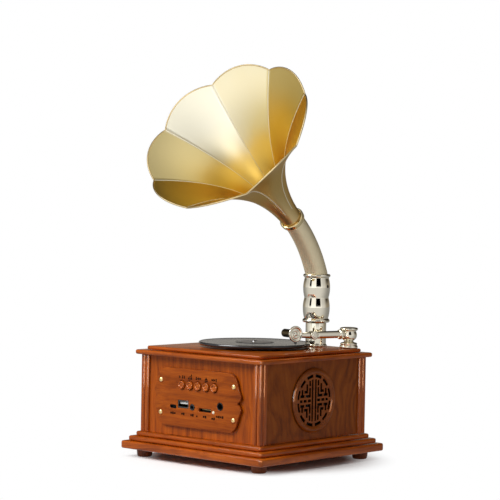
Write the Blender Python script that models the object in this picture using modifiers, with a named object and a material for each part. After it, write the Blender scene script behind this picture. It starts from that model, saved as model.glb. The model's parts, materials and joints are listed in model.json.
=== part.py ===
"""Horn loudspeaker: a square wooden cabinet with a record, a tone arm and a swivelling petal horn.

Metres, +Z up. The origin is the centre of the base board's underside, +X points out of the right
grille and -Y out of the control plate. Every piece is its own closed solid, 0.3 mm clear of the next.
"""

import math

import bmesh
import bpy
from mathutils import Matrix, Vector

MM = 0.001
GAP = 0.3 * MM

# Cabinet: half widths of the square boards, and the heights where they meet
BASE_HALF = 95.0 * MM
STEP_HALVES = (89.7 * MM, 84.5 * MM)
POST_OUTER = 80.9 * MM
POST_INNER = 70.0 * MM
LOWER_TOP_HALF = 85.9 * MM
UPPER_TOP_HALF = 77.6 * MM
BASE_TOP = 7.5 * MM
STEP_TOPS = (12.5 * MM, 17.1 * MM)
WALL_BOTTOM = STEP_TOPS[1] + GAP
WALL_TOP = 94.7 * MM
LOWER_TOP_TOP = 99.4 * MM
TOP = 103.3 * MM
BOARD_ROUND = 1.6 * MM
PANEL_FACE = 78.0 * MM
PANEL_INNER = 72.0 * MM
FOOT_PLACE = 77.0 * MM
FOOT_SOCKET = 8.6 * MM
SOCKET_DEPTH = 1.5 * MM

# Control plate, with its centre on the panel and the height of its straight edges
PLATE_FACE = 81.0 * MM
PLATE_BACK = 78.3 * MM
PLATE_X = -2.5 * MM
PLATE_Z = 55.4 * MM
SCREW_XS = (-51.4 * MM, 46.4 * MM)
SCREW_ZS = (39.1 * MM, 71.4 * MM)
SCREW_HOLE = 1.4 * MM
WINDOW_X = (-47.3 * MM, 41.7 * MM)
WINDOW_Z = (36.0 * MM, 76.0 * MM)

# Controls and sockets, as places on the plate
BUTTON_XS = [(-22.8 + 10.9 * i) * MM for i in range(5)]
BUTTON_Z = 68.3 * MM
BUTTON_HOLE = 4.4 * MM
MICRO_AT = (-34.4 * MM, 45.9 * MM)
USB_AT = (-20.8 * MM, 49.1 * MM)
AUX_AT = (-8.4 * MM, 47.0 * MM)
CARD_AT = (8.6 * MM, 45.4 * MM)
LENS_AT = (20.0 * MM, 44.4 * MM)
MIC_AT = (28.7 * MM, 50.8 * MM)
MICRO_HOLE = (8.6 * MM, 3.7 * MM)
USB_HOLE = (14.7 * MM, 8.0 * MM)
CARD_HOLE = (16.4 * MM, 2.6 * MM)
AUX_HOLE = 3.3 * MM
LENS_HOLE = 1.4 * MM
MIC_HOLE = 4.0 * MM
BOARD_FRONT = 62.0 * MM
BOARD_BACK = 60.4 * MM
SWITCH_FRONT = 67.0 * MM

# Round grilles in the two side panels
GRILLE_Z = 56.0 * MM
GRILLE_HOLE = 28.0 * MM

# Turntable
RECORD_RADIUS = 56.5 * MM
RECORD_BOTTOM = 105.4 * MM
RECORD_TOP = 108.8 * MM
SHAFT_RADIUS = 3.0 * MM
SHAFT_HOLE = 3.4 * MM

# Horn: its post stands at HORN_AT and its mouth faces HORN_HEADING
HORN_AT = (27.5 * MM, 63.2 * MM)
HORN_HEADING = math.radians(-85.0)
PASSAGE_RADIUS = 7.0 * MM
ELBOW_FOOT = 160.5 * MM
ELBOW_SHOULDER = 174.5 * MM
ELBOW_BEND_START = 172.3 * MM
ELBOW_TIGHT_RADIUS = 15.0 * MM
ELBOW_WIDE_RADIUS = 133.0 * MM
ELBOW_FIRST_LEAN = math.radians(23.5)
HORN_LEAN = math.radians(54.0)
ELBOW_SPIGOT = 8.9 * MM
ELBOW_RADII = (11.2 * MM, 10.45 * MM)
ELBOW_WALL = 1.3 * MM
PETALS = 8
BELL_LENGTH = 131.8 * MM
NECK_RADIUS = 10.6 * MM
MOUTH_RADIUS = 84.6 * MM
BELL_TAPER = 2.7 * MM
BELL_FLARE = 2.27
STEM_SHARE = 0.46
PETAL_OUT = 2.8 * MM
PETAL_FORWARD = 7.0 * MM
BELL_WALL = 1.0 * MM
FIRST_SEAM = math.radians(173.0)

# Tone arm: its pivot stands at ARM_AT and it reaches along ARM_HEADING
ARM_AT = (67.5 * MM, 67.5 * MM)
ARM_HEADING = math.radians(255.6)
ARM_Z = 117.8 * MM
ARM_RADIUS = 3.7 * MM
ARM_START = 5.4 * MM
KNUCKLE = 44.6 * MM
KNUCKLE_RADIUS = 4.3 * MM
FORK_HALF = 3.7 * MM
SLOT_HALF = 1.7 * MM
TONGUE_HALF = 1.35 * MM
PIN_RADIUS = 1.3 * MM
EYE_HOLE = 1.6 * MM
SOUND_BOX_AT = 69.0 * MM
SOUND_BOX_Z = 119.7 * MM

FRONT, RIGHT, LEFT = Vector((0, -1, 0)), Vector((1, 0, 0)), Vector((-1, 0, 0))

# Colour, roughness and metallic value of each finish
FINISHES = {
    "lacquered_wood": ((0.42, 0.15, 0.05), 0.28, 0.0),
    "plate_wood": ((0.45, 0.17, 0.06), 0.4, 0.0),
    "grille_wood": ((0.36, 0.12, 0.04), 0.35, 0.0),
    "foot_wood": ((0.16, 0.06, 0.03), 0.4, 0.0),
    "button_wood": ((0.5, 0.2, 0.08), 0.35, 0.0),
    "brass": ((0.78, 0.58, 0.28), 0.25, 1.0),
    "champagne_gold": ((0.8, 0.66, 0.38), 0.35, 1.0),
    "champagne_chrome": ((0.86, 0.82, 0.74), 0.1, 1.0),
    "satin_champagne": ((0.76, 0.7, 0.6), 0.3, 1.0),
    "socket_steel": ((0.75, 0.75, 0.76), 0.25, 1.0),
    "platter_steel": ((0.7, 0.7, 0.7), 0.25, 1.0),
    "black_plastic": ((0.02, 0.02, 0.02), 0.45, 0.0),
    "record_vinyl": ((0.015, 0.015, 0.018), 0.15, 0.0),
    "grille_cloth": ((0.03, 0.025, 0.02), 0.95, 0.0),
    "clear_lens": ((0.85, 0.84, 0.8), 0.1, 0.0),
    "circuit_green": ((0.03, 0.2, 0.09), 0.4, 0.0),
    "battery_wrap": ((0.1, 0.2, 0.45), 0.4, 0.0),
    "driver_steel": ((0.3, 0.3, 0.31), 0.35, 1.0),
    "paper_cone": ((0.05, 0.05, 0.05), 0.8, 0.0),
    "needle_steel": ((0.35, 0.35, 0.36), 0.2, 1.0),
}


def collection(name):
    made = bpy.data.collections.new(name)
    bpy.context.scene.collection.children.link(made)
    return made


def clear_scene():
    for obj in list(bpy.data.objects):
        bpy.data.objects.remove(obj, do_unlink=True)


clear_scene()
PARTS = collection("horn_loudspeaker")
CUTTERS = collection("cutters")


def material(finish):
    found = bpy.data.materials.get(finish)
    if found:
        return found
    colour, roughness, metallic = FINISHES[finish]
    made = bpy.data.materials.new(finish)
    made.use_nodes = True
    shader = made.node_tree.nodes["Principled BSDF"]
    shader.inputs["Base Color"].default_value = (*colour, 1.0)
    shader.inputs["Roughness"].default_value = roughness
    shader.inputs["Metallic"].default_value = metallic
    return made


def add_object(name, data, finish=None, at=(0, 0, 0), facing=None, parent=None):
    """Link a new object. facing turns its local +Z to that direction, with local +Y kept upright."""
    obj = bpy.data.objects.new(name, data)
    (PARTS if finish else CUTTERS).objects.link(obj)
    if finish:
        data.materials.append(material(finish))
    else:
        obj.hide_render = True
        obj.display_type = "WIRE"
    obj.location = at
    if facing is not None:
        obj.rotation_euler = upright(facing).to_euler()
    obj.parent = parent
    return obj


def upright(facing):
    """The turn that takes local +Z to a level direction and local +Y to world up."""
    across = Vector((0, 0, 1)).cross(facing)
    return Matrix((across, Vector((0, 0, 1)), facing)).transposed()


def axis_empty(name, at, turn=0.0):
    empty = bpy.data.objects.new(name, None)
    PARTS.objects.link(empty)
    empty.location = at
    empty.rotation_euler = (0, 0, turn)
    return empty


def mesh_of(build):
    """A mesh filled by build, which gets an empty bmesh."""
    bm = bmesh.new()
    build(bm)
    mesh = bpy.data.meshes.new("shape")
    bm.to_mesh(mesh)
    bm.free()
    return mesh


def box(name, low, high, finish=None, rounding=0.0, parent=None):
    size = Vector(high) - Vector(low)

    def build(bm):
        bmesh.ops.create_cube(bm, size=1.0, matrix=Matrix.Diagonal((*size, 1.0)))

    obj = add_object(name, mesh_of(build), finish, (Vector(low) + Vector(high)) / 2, parent=parent)
    if rounding:
        bevel = obj.modifiers.new("rounded_edges", "BEVEL")
        bevel.width = rounding
        bevel.segments = 2
    return obj


def rod(name, radius, start, end, sides=24, parent=None):
    """A cylinder between two points, for cuts and joins."""
    start, end = Vector(start), Vector(end)

    def build(bm):
        bmesh.ops.create_cone(
            bm, cap_ends=True, segments=sides, radius1=radius, radius2=radius, depth=(end - start).length
        )

    obj = add_object(name, mesh_of(build), None, (start + end) / 2, parent=parent)
    obj.rotation_euler = (end - start).to_track_quat("Z", "Y").to_euler()
    return obj


def turned(name, outline, finish, steps=24, closed=False, **place):
    """A turned solid. Its outline in (radius, height) runs from the top down the outer side."""
    mesh = bpy.data.meshes.new(name)
    count = len(outline)
    edges = [(i, i + 1) for i in range(count - 1)]
    if closed:
        edges.append((count - 1, 0))
    mesh.from_pydata([(radius, 0, height) for radius, height in outline], edges, [])
    obj = add_object(name, mesh, finish, **place)
    screw = obj.modifiers.new("turned", "SCREW")
    screw.steps = screw.render_steps = steps
    screw.use_merge_vertices = True
    screw.merge_threshold = 0.00001
    return obj


def scaled(points):
    return [(a * MM, b * MM) for a, b in points]


def arc(centre, radius, start, end, points):
    """Points on an arc, with its angles in degrees."""
    turn = [math.radians(start + (end - start) * i / (points - 1)) for i in range(points)]
    return [(centre[0] + radius * math.cos(a), centre[1] + radius * math.sin(a)) for a in turn]


def round_hole(centre, radius, points=14):
    return arc(centre, radius, 0, 360 * (points - 1) / points, points)


def square_hole(centre, size, rounding=0.0, points=3):
    half_x, half_y = size[0] / 2 - rounding, size[1] / 2 - rounding
    outline = []
    for sx, sy, start in ((1, 1, 0), (-1, 1, 90), (-1, -1, 180), (1, -1, 270)):
        corner = (centre[0] + sx * half_x, centre[1] + sy * half_y)
        outline += arc(corner, rounding, start, start + 90, points) if rounding else [corner]
    return outline


def outline_curve(name, loops, thickness, finish, **place):
    """A flat piece: the first loop is its outline and the others are its holes."""
    curve = bpy.data.curves.new(name, "CURVE")
    curve.dimensions = "2D"
    curve.fill_mode = "BOTH"
    curve.extrude = thickness / 2
    for loop in loops:
        spline = curve.splines.new("POLY")
        spline.points.add(len(loop) - 1)
        for point, (x, y) in zip(spline.points, loop):
            point.co = (x, y, 0, 1)
        spline.use_cyclic_u = True
    return add_object(name, curve, finish, **place)


def as_mesh(obj):
    """The curve object remade as a mesh one, with its loose caps welded."""
    bpy.context.view_layer.update()
    graph = bpy.context.evaluated_depsgraph_get()
    mesh = bpy.data.meshes.new_from_object(obj.evaluated_get(graph))
    bm = bmesh.new()
    bm.from_mesh(mesh)
    bmesh.ops.remove_doubles(bm, verts=bm.verts, dist=0.000001)
    bm.to_mesh(mesh)
    bm.free()
    made = bpy.data.objects.new(f"{obj.name}_mesh", mesh)
    obj.users_collection[0].objects.link(made)
    made.parent = obj.parent
    made.matrix_world = obj.matrix_world
    made.hide_render = obj.hide_render
    made.display_type = obj.display_type
    name = obj.name
    bpy.data.objects.remove(obj)
    made.name = name
    return made


def cut(obj, *tools, operation="DIFFERENCE"):
    for tool in tools:
        boolean = obj.modifiers.new(tool.name, "BOOLEAN")
        boolean.operation = operation
        boolean.object = tool


def join(obj, *tools):
    cut(obj, *tools, operation="UNION")


# ---------------------------------------------------------------- cabinet


def square_board(name, half, bottom, top):
    return box(name, (-half, -half, bottom), (half, half, top), "lacquered_wood", BOARD_ROUND)


def foot_places():
    return [
        (f"{depth}_{side}_foot", (sx * FOOT_PLACE, sy * FOOT_PLACE))
        for depth, sy in (("front", -1), ("rear", 1))
        for side, sx in (("left", -1), ("right", 1))
    ]


def base_and_steps():
    base = square_board("base_board", BASE_HALF, 0.0, BASE_TOP)
    for foot, place in foot_places():
        cut(base, rod(f"{foot}_socket", FOOT_SOCKET, (*place, -5 * MM), (*place, SOCKET_DEPTH), 16))
    square_board("lower_step_board", STEP_HALVES[0], BASE_TOP + GAP, STEP_TOPS[0])
    square_board("upper_step_board", STEP_HALVES[1], STEP_TOPS[0] + GAP, STEP_TOPS[1])


def top_boards():
    lower = square_board("lower_top_board", LOWER_TOP_HALF, WALL_TOP + GAP, LOWER_TOP_TOP)
    upper = square_board("upper_top_board", UPPER_TOP_HALF, LOWER_TOP_TOP + GAP, TOP)
    bottom, above = 90 * MM, 110 * MM
    spindle_hole = rod("spindle_hole", SHAFT_HOLE, (0, 0, bottom), (0, 0, above))
    passage = rod("horn_passage", PASSAGE_RADIUS, (*HORN_AT, bottom), (*HORN_AT, above))
    for board in (lower, upper):
        cut(board, spindle_hole, passage)


def reeded_outline(sides=7):
    """Section of a corner post, with a bead on its corner and one reed on each outer face."""
    reed = (POST_OUTER - POST_INNER) / 4
    near, far = POST_INNER + reed, POST_INNER + 3 * reed
    return [
        (POST_INNER, POST_INNER),
        (POST_INNER, far),
        *arc((near, far), reed, 180, 0, sides)[1:],
        *arc((far, far), reed, 180, -90, sides + 3)[1:],
        *arc((far, near), reed, 90, -90, sides)[1:],
    ]


def corner_posts():
    height = WALL_TOP - WALL_BOTTOM
    middle = (WALL_TOP + WALL_BOTTOM) / 2
    corners = (("rear_right", 0), ("rear_left", 90), ("front_left", 180), ("front_right", 270))
    for corner, turn in corners:
        post = outline_curve(f"{corner}_post", [reeded_outline()], height, "lacquered_wood")
        post.location = (0, 0, middle)
        post.rotation_euler = (0, 0, math.radians(turn))


def wall_panel(name, facing, holes=()):
    """A side of the cabinet between two posts. Its holes are in (across, up) on its face."""
    half = POST_INNER - GAP
    middle_z = (WALL_TOP + WALL_BOTTOM) / 2
    sides = square_hole((0, middle_z), (2 * half, WALL_TOP - WALL_BOTTOM))
    middle = (PANEL_FACE + PANEL_INNER) / 2
    thickness = PANEL_FACE - PANEL_INNER
    loops = [sides, *holes]
    return outline_curve(name, loops, thickness, "lacquered_wood", at=facing * middle, facing=facing)


def screw_places():
    return [(x, z) for x in SCREW_XS for z in SCREW_ZS]


def panels():
    window_centre = (sum(WINDOW_X) / 2, sum(WINDOW_Z) / 2)
    window_size = (WINDOW_X[1] - WINDOW_X[0], WINDOW_Z[1] - WINDOW_Z[0])
    screw_holes = [round_hole(place, SCREW_HOLE, 8) for place in screw_places()]
    wall_panel("front_panel", FRONT, [square_hole(window_centre, window_size), *screw_holes])
    wall_panel("rear_panel", -FRONT)
    grille_hole = round_hole((0, GRILLE_Z), GRILLE_HOLE, 32)
    wall_panel("right_panel", RIGHT, [grille_hole])
    wall_panel("left_panel", LEFT, [grille_hole])


def feet():
    """Round feet, each let into a shallow socket in the base board."""
    outline = scaled([(0, 1.2), (7.9, 1.2), (8.0, -2.0), (7.5, -7.4), (6.7, -8.4), (0, -8.4)])
    for foot, place in foot_places():
        turned(foot, outline, "foot_wood", 16, at=(*place, 0))


# ---------------------------------------------------------------- control plate


def plate_outline():
    """The plate's outline round (0, 0): straight top and bottom, a shoulder and two lobes at each end."""
    shoulder = arc((41.5, 16.9), 12.0, 90, 20, 7)
    lobe = arc((52.6, 6.4), 5.6, 50, -60, 7)
    lower = [(x, -y) for x, y in reversed(shoulder + lobe)]
    right = shoulder + lobe + [(53.6, 0.0)] + lower
    left = [(-x, y) for x, y in reversed(right)]
    return scaled(right + left)


def control_plate():
    def on_plate(place):
        return (place[0] - PLATE_X, place[1] - PLATE_Z)

    holes = [round_hole(on_plate(place), SCREW_HOLE, 8) for place in screw_places()]
    holes += [round_hole(on_plate((x, BUTTON_Z)), BUTTON_HOLE, 14) for x in BUTTON_XS]
    holes.append(square_hole(on_plate(MICRO_AT), MICRO_HOLE, 0.9 * MM))
    holes.append(square_hole(on_plate(USB_AT), USB_HOLE, 0.8 * MM))
    holes.append(round_hole(on_plate(AUX_AT), AUX_HOLE))
    holes.append(square_hole(on_plate(CARD_AT), CARD_HOLE))
    holes.append(round_hole(on_plate(LENS_AT), LENS_HOLE, 8))
    holes.append(round_hole(on_plate(MIC_AT), MIC_HOLE))
    outline_curve(
        "control_plate",
        [plate_outline(), *holes],
        PLATE_FACE - PLATE_BACK,
        "plate_wood",
        at=(PLATE_X, -(PLATE_FACE + PLATE_BACK) / 2, PLATE_Z),
        facing=FRONT,
    )


def on_face(place):
    """World place of a piece turned about an axis through the plate's face."""
    return (place[0], -PLATE_FACE, place[1])


def plate_screws():
    outline = scaled([(0, 1.4), (1.0, 1.2), (1.75, 0.8), (2.1, 0.3), (1.1, 0.3), (1.1, -7.6), (0, -8.3)])
    for i, place in enumerate(screw_places(), 1):
        turned(f"plate_screw_{i}", outline, "brass", 10, at=on_face(place), facing=FRONT)


def buttons():
    outline = [
        (0, 1.7), (2.8, 1.6), (3.7, 1.2), (4.1, 0.5), (4.1, -3.3), (4.9, -3.3), (4.9, -4.3), (1.6, -4.3),
        (1.6, -12.9), (0, -12.9),
    ]
    for i, x in enumerate(BUTTON_XS, 1):
        place = on_face((x, BUTTON_Z))
        turned(f"button_{i}", scaled(outline), "button_wood", 14, at=place, facing=FRONT)


def front_block(name, place, size, front, back, finish=None, rounding=0.0):
    """A block behind the plate, from depth back to depth front, both measured outwards from the middle."""
    low = (place[0] - size[0] / 2, -front, place[1] - size[1] / 2)
    high = (place[0] + size[0] / 2, -back, place[1] + size[1] / 2)
    return box(name, low, high, finish, rounding)


def usb_sockets():
    rear = BOARD_FRONT + GAP
    usb = front_block("usb_socket", USB_AT, (14.0 * MM, 7.4 * MM), 80.7 * MM, rear, "socket_steel")
    cut(usb, front_block("usb_cavity", USB_AT, (12.6 * MM, 5.2 * MM), 85 * MM, 66 * MM))
    tongue_at = (USB_AT[0], USB_AT[1] + 1.1 * MM)
    join(usb, front_block("usb_tongue", tongue_at, (11.2 * MM, 1.8 * MM), 79.2 * MM, 64.5 * MM))
    micro = front_block("micro_usb_socket", MICRO_AT, (7.8 * MM, 3.0 * MM), 80.7 * MM, rear, "socket_steel")
    cut(micro, front_block("micro_cavity", MICRO_AT, (6.9 * MM, 2.0 * MM), 85 * MM, 75 * MM))
    join(micro, front_block("micro_tongue", MICRO_AT, (3.8 * MM, 0.6 * MM), 79.7 * MM, 74 * MM))


def card_slot():
    rear = BOARD_FRONT + GAP
    slot = front_block("card_slot", CARD_AT, (17.2 * MM, 4.4 * MM), 78.0 * MM, rear, "socket_steel")
    cut(slot, front_block("card_cavity", CARD_AT, (14.0 * MM, 1.6 * MM), 85 * MM, 65 * MM))


def jacks_and_lens():
    aux = [
        (0, -14), (1.8, -14), (1.8, 0.4), (2.6, 0.4), (2.95, 0.1), (2.95, -3.0), (3.9, -3.0),
        (3.9, -18.7), (0, -18.7),
    ]
    turned("aux_jack", scaled(aux), "socket_steel", 16, at=on_face(AUX_AT), facing=FRONT)
    mic = [
        (0, -16), (3.15, -16), (3.15, 0.3), (3.5, 0.3), (3.65, 0.0), (3.65, -3.0), (5.6, -3.0),
        (5.6, -18.7), (0, -18.7),
    ]
    turned("mic_jack", scaled(mic), "black_plastic", 18, at=on_face(MIC_AT), facing=FRONT)
    lens = [(0, 0.3), (0.7, 0.1), (1.05, -0.4), (1.05, -3.1), (1.6, -3.1), (1.6, -18.7), (0, -18.7)]
    turned("indicator_lens", scaled(lens), "clear_lens", 12, at=on_face(LENS_AT), facing=FRONT)


def circuit_board():
    board = box(
        "circuit_board", (-49 * MM, -BOARD_FRONT, 30 * MM), (46 * MM, -BOARD_BACK, 80 * MM), "circuit_green"
    )
    size = (6 * MM, 6 * MM)
    for i, x in enumerate(BUTTON_XS, 1):
        join(board, front_block(f"switch_{i}", (x, BUTTON_Z), size, SWITCH_FRONT, 61.5 * MM))
    join(board, front_block("chip", (-4 * MM, 58 * MM), (9 * MM, 9 * MM), 61 * MM, 58.8 * MM))


def battery():
    low = (-35 * MM, 8 * MM, 17.4 * MM)
    high = (35 * MM, 46 * MM, 35.4 * MM)
    box("battery_pack", low, high, "battery_wrap", 1.5 * MM)


# ---------------------------------------------------------------- grilles and drivers


def lattice_slots():
    """Slots of the fretwork round (0, 0): broken arcs, a centre pair, a row of dashes and stepped keys."""
    slots = []
    for i in range(12):
        middle = 90 + 360 * (i + 0.5) / 12
        outer = arc((0, 0), 25.3, middle - 11, middle + 11, 3)
        inner = arc((0, 0), 22.7, middle + 11, middle - 11, 3)
        slots.append(outer + inner)
    near = [(5.2, 3.4), (12.6, 3.4), (12.6, 5.7), (7.5, 5.7), (7.5, 12.4), (5.2, 12.4)]
    step = [(9.5, 7.6), (14.7, 7.6), (14.7, 9.9), (11.8, 9.9), (11.8, 16.2), (9.5, 16.2)]
    far = [
        (14.6, 3.6),
        (21.2, 3.6),
        (21.2, 5.9),
        (19.0, 5.9),
        (19.0, 11.0),
        (16.7, 11.0),
        (16.7, 5.9),
        (14.6, 5.9),
    ]
    dashes = ((7.1, 4.6, 2.4), (13.5, 4.8, 2.4), (19.4, 3.8, 2.2))
    for side in (-1, 1):
        slots.append(square_hole((side * 2.6, 0), (2.2, 41)))
        slots += [square_hole((side * x, 0), (length, height)) for x, length, height in dashes]
        for up in (-1, 1):
            slots += [[(side * x, up * y) for x, y in shape] for shape in (near, far, step)]
            slots.append(square_hole((side * 6.35, up * 17.0), (2.3, 5.4)))
    return [scaled(slot) for slot in slots]


def grille(name, facing):
    """A lattice disc with a raised ring round it."""
    outline = [
        (0, 79.6), (26.0, 79.6), (26.2, 80.6), (27.0, 81.3), (29.4, 81.3), (31.2, 80.4), (32.0, 78.8),
        (32.0, 78.3), (27.6, 78.3), (27.6, 76.0), (0, 76.0),
    ]
    at = Vector((0, 0, GRILLE_Z))
    disc = turned(name, scaled(outline), "grille_wood", 32, at=at, facing=facing)
    through = 20 * MM
    middle = at + facing * PANEL_FACE
    slots = outline_curve(f"{name}_slots", lattice_slots(), through, None, at=middle, facing=facing)
    cut(disc, as_mesh(slots))


def grille_cloth(name, facing):
    outline = scaled([(0, 73.8), (27.4, 73.8), (27.4, 73.0), (0, 73.0)])
    turned(name, outline, "grille_cloth", 24, at=(0, 0, GRILLE_Z), facing=facing)


def driver(side, facing):
    """A full-range driver behind the panel: an open basket on its magnet, and its cone."""
    basket = [
        (0, 54.5), (13, 54.5), (26.5, 71.7), (31.5, 71.7), (31.5, 70.0), (28.2, 70.0),
        (15.5, 53.5), (19.5, 53.5), (19.5, 43.0), (0, 43.0),
    ]
    turned(f"{side}_driver_frame", scaled(basket), "driver_steel", 20, at=(0, 0, GRILLE_Z), facing=facing)
    cone = [
        (0, 62.0),
        (4, 61.6),
        (7.5, 59.8),
        (23.8, 71.2),
        (24.6, 71.2),
        (24.6, 70.4),
        (8.2, 57.8),
        (0, 57.8),
    ]
    turned(f"{side}_driver_cone", scaled(cone), "paper_cone", 20, at=(0, 0, GRILLE_Z), facing=facing)


def side_speakers():
    for side, facing in (("right", RIGHT), ("left", LEFT)):
        grille(f"{side}_grille", facing)
        grille_cloth(f"{side}_grille_cloth", facing)
        driver(side, facing)


def horn_driver():
    """The small driver that feeds the horn, and the flat duct from it to the horn's post."""
    x, _ = HORN_AT
    driver_y = 36.0 * MM
    outline = [
        (0, 84.5),
        (5, 84.5),
        (5, 88.6),
        (9, 88.6),
        (9, 84),
        (20, 84),
        (20, 68),
        (14, 66),
        (14, 60),
        (0, 60),
    ]
    turned("horn_driver", scaled(outline), "driver_steel", 20, at=(x, driver_y, 0))
    duct_low = (x - 9.5 * MM, 25 * MM, 89 * MM)
    duct_high = (x + 9.5 * MM, 71.6 * MM, WALL_TOP)
    duct = box("throat_duct", duct_low, duct_high, "black_plastic")
    channel = box("duct_channel", (x - 5.5 * MM, 30 * MM, 90.4 * MM), (x + 5.5 * MM, 69.5 * MM, 93.4 * MM))
    inlet = rod("duct_inlet", 4.6 * MM, (x, driver_y, 87 * MM), (x, driver_y, 92 * MM))
    outlet = rod("duct_outlet", 5.0 * MM, (*HORN_AT, 92 * MM), (*HORN_AT, 97 * MM))
    cut(duct, channel, inlet, outlet)


# ---------------------------------------------------------------- record


def turntable():
    axis = axis_empty("record_axis", (0, 0, 0))
    rim = arc((RECORD_RADIUS - 1.7 * MM, (RECORD_TOP + RECORD_BOTTOM) / 2), 1.7 * MM, 90, -90, 5)
    hole = SHAFT_RADIUS + GAP
    outline = [(hole, RECORD_TOP), *rim, (hole, RECORD_BOTTOM)]
    turned("record", outline, "record_vinyl", 48, closed=True, parent=axis)
    shaft = [
        (0, 110.2), (2.2, 110.0), (3.0, 109.2), (3.0, 105.1), (28, 105.1), (28, 103.9), (3.0, 103.9),
        (3.0, 91.0), (0, 91.0),
    ]
    turned("platter", scaled(shaft), "platter_steel", 24, parent=axis)


# ---------------------------------------------------------------- horn


def horn_post():
    outline = [
        (8.6, 149.5), (8.6, 127.4), (10.6, 127.4), (10.6, 105.2), (10.9, 104.6), (10.9, 103.6),
        (6.6, 103.6), (6.6, 95.0), (5.0, 95.0), (5.0, 104.0), (7.2, 107.0), (7.2, 149.5),
    ]
    turned("horn_post", scaled(outline), "champagne_chrome", 20, closed=True, at=(*HORN_AT, 0))


def horn_collar(axis):
    """The collar with its two beads, which turns on the post's spigot."""
    lower_bead = [(13.1, 137.5), (13.6, 141.8), (13.1, 146.4)]
    upper_bead = [(13.0, 159.6), (13.5, 164.3), (13.0, 168.8)]
    outline = [
        (12.9, 177.0), (13.3, 177.0), (13.8, 176.2), (13.8, 174.6), (13.3, 173.8), (12.3, 172.4),
        *reversed(upper_bead), (12.4, 155.6), (12.0, 153.1), (12.4, 150.4), *reversed(lower_bead),
        (12.4, 134.2), (12.2, 132.4), (13.2, 131.4), (13.6, 130.4), (13.6, 128.6), (13.0, 127.7),
        (8.9, 127.7), (8.9, 160.0), (10.3, 160.0), (10.3, 170.0), (12.9, 173.8),
    ]
    collar = turned("horn_collar", scaled(outline), "champagne_chrome", 16, closed=True, parent=axis)
    # The screw stands on the side that faces the right grille
    toward = Matrix.Rotation(-HORN_HEADING + math.radians(6.0), 3, "Z") @ RIGHT
    height = Vector((0, 0, 165 * MM))
    cut(collar, rod("screw_hole", 1.75 * MM, toward * 9 * MM + height, toward * 16 * MM + height, 12, axis))
    outline = scaled([(0, 12.9), (1.0, 12.9), (1.45, 12.5), (1.45, 9.5), (1.1, 9.2), (0, 9.2)])
    screw = turned("grub_screw", outline, "needle_steel", 12, parent=axis, at=height)
    screw.rotation_euler = toward.to_track_quat("Z", "Y").to_euler()


def elbow_path():
    """(along the heading, height, lean) down the elbow's centre line, from its foot to the cup ring."""
    path = [(0.0, ELBOW_FOOT, 0.0), (0.0, ELBOW_BEND_START, 0.0)]
    x, z = 0.0, ELBOW_BEND_START
    lean = 0.0
    for radius, target, steps in (
        (ELBOW_TIGHT_RADIUS, ELBOW_FIRST_LEAN, 4),
        (ELBOW_WIDE_RADIUS, HORN_LEAN, 9),
    ):
        first = lean
        start_x, start_z = x, z
        for i in range(1, steps + 1):
            lean = first + (target - first) * i / steps
            x = start_x + radius * (math.cos(first) - math.cos(lean))
            z = start_z + radius * (math.sin(lean) - math.sin(first))
            path.append((x, z, lean))
    return path


def elbow(axis):
    """The tube from the collar to the bell: a thinner spigot below its shoulder, and a slow taper above."""
    path = elbow_path()
    wide, narrow = ELBOW_RADII
    points = [(x, z, ELBOW_SPIGOT) for x, z, _ in path if z < ELBOW_SHOULDER]
    visible = [(x, z) for x, z, _ in path if z >= ELBOW_SHOULDER]
    for i, (x, z) in enumerate(visible):
        points.append((x, z, wide + (narrow - wide) * i / (len(visible) - 1)))
    curve = bpy.data.curves.new("horn_elbow", "CURVE")
    curve.dimensions = "3D"
    curve.bevel_depth = 1.0
    curve.bevel_resolution = 3
    curve.use_fill_caps = False
    spline = curve.splines.new("POLY")
    spline.points.add(len(points) - 1)
    for point, (x, z, radius) in zip(spline.points, points):
        point.co = (x, 0, z, 1)
        point.radius = radius
    tube = as_mesh(add_object("horn_elbow", curve, "satin_champagne", parent=axis))
    wall = tube.modifiers.new("wall", "SOLIDIFY")
    wall.thickness = ELBOW_WALL
    wall.offset = -1
    return path[-1]


def bell_mesh(start, end, rows, petal_sides=4):
    """The bell's outer surface round local +Z, between two shares of its length.

    It opens from a round neck at share 0 into petals at share 1.
    """
    columns = PETALS * petal_sides

    def build(bm):
        rings = []
        for row in range(rows + 1):
            share = start + (end - start) * row / rows
            flare = share**BELL_FLARE
            radius = NECK_RADIUS + BELL_TAPER * share + (MOUTH_RADIUS - NECK_RADIUS - BELL_TAPER) * flare
            ring = []
            for column in range(columns):
                across = 2 * (column % petal_sides) / petal_sides - 1
                bulge = (1 - across**2) * share**1.5
                turn = FIRST_SEAM + 2 * math.pi * column / columns
                reach = radius + PETAL_OUT * bulge
                height = GAP + (BELL_LENGTH - GAP) * share + PETAL_FORWARD * bulge
                ring.append(bm.verts.new((reach * math.cos(turn), reach * math.sin(turn), height)))
            rings.append(ring)
        for below, above in zip(rings, rings[1:]):
            for i in range(columns):
                after = (i + 1) % columns
                bm.faces.new((below[i], below[after], above[after], above[i]))

    return mesh_of(build)


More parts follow.
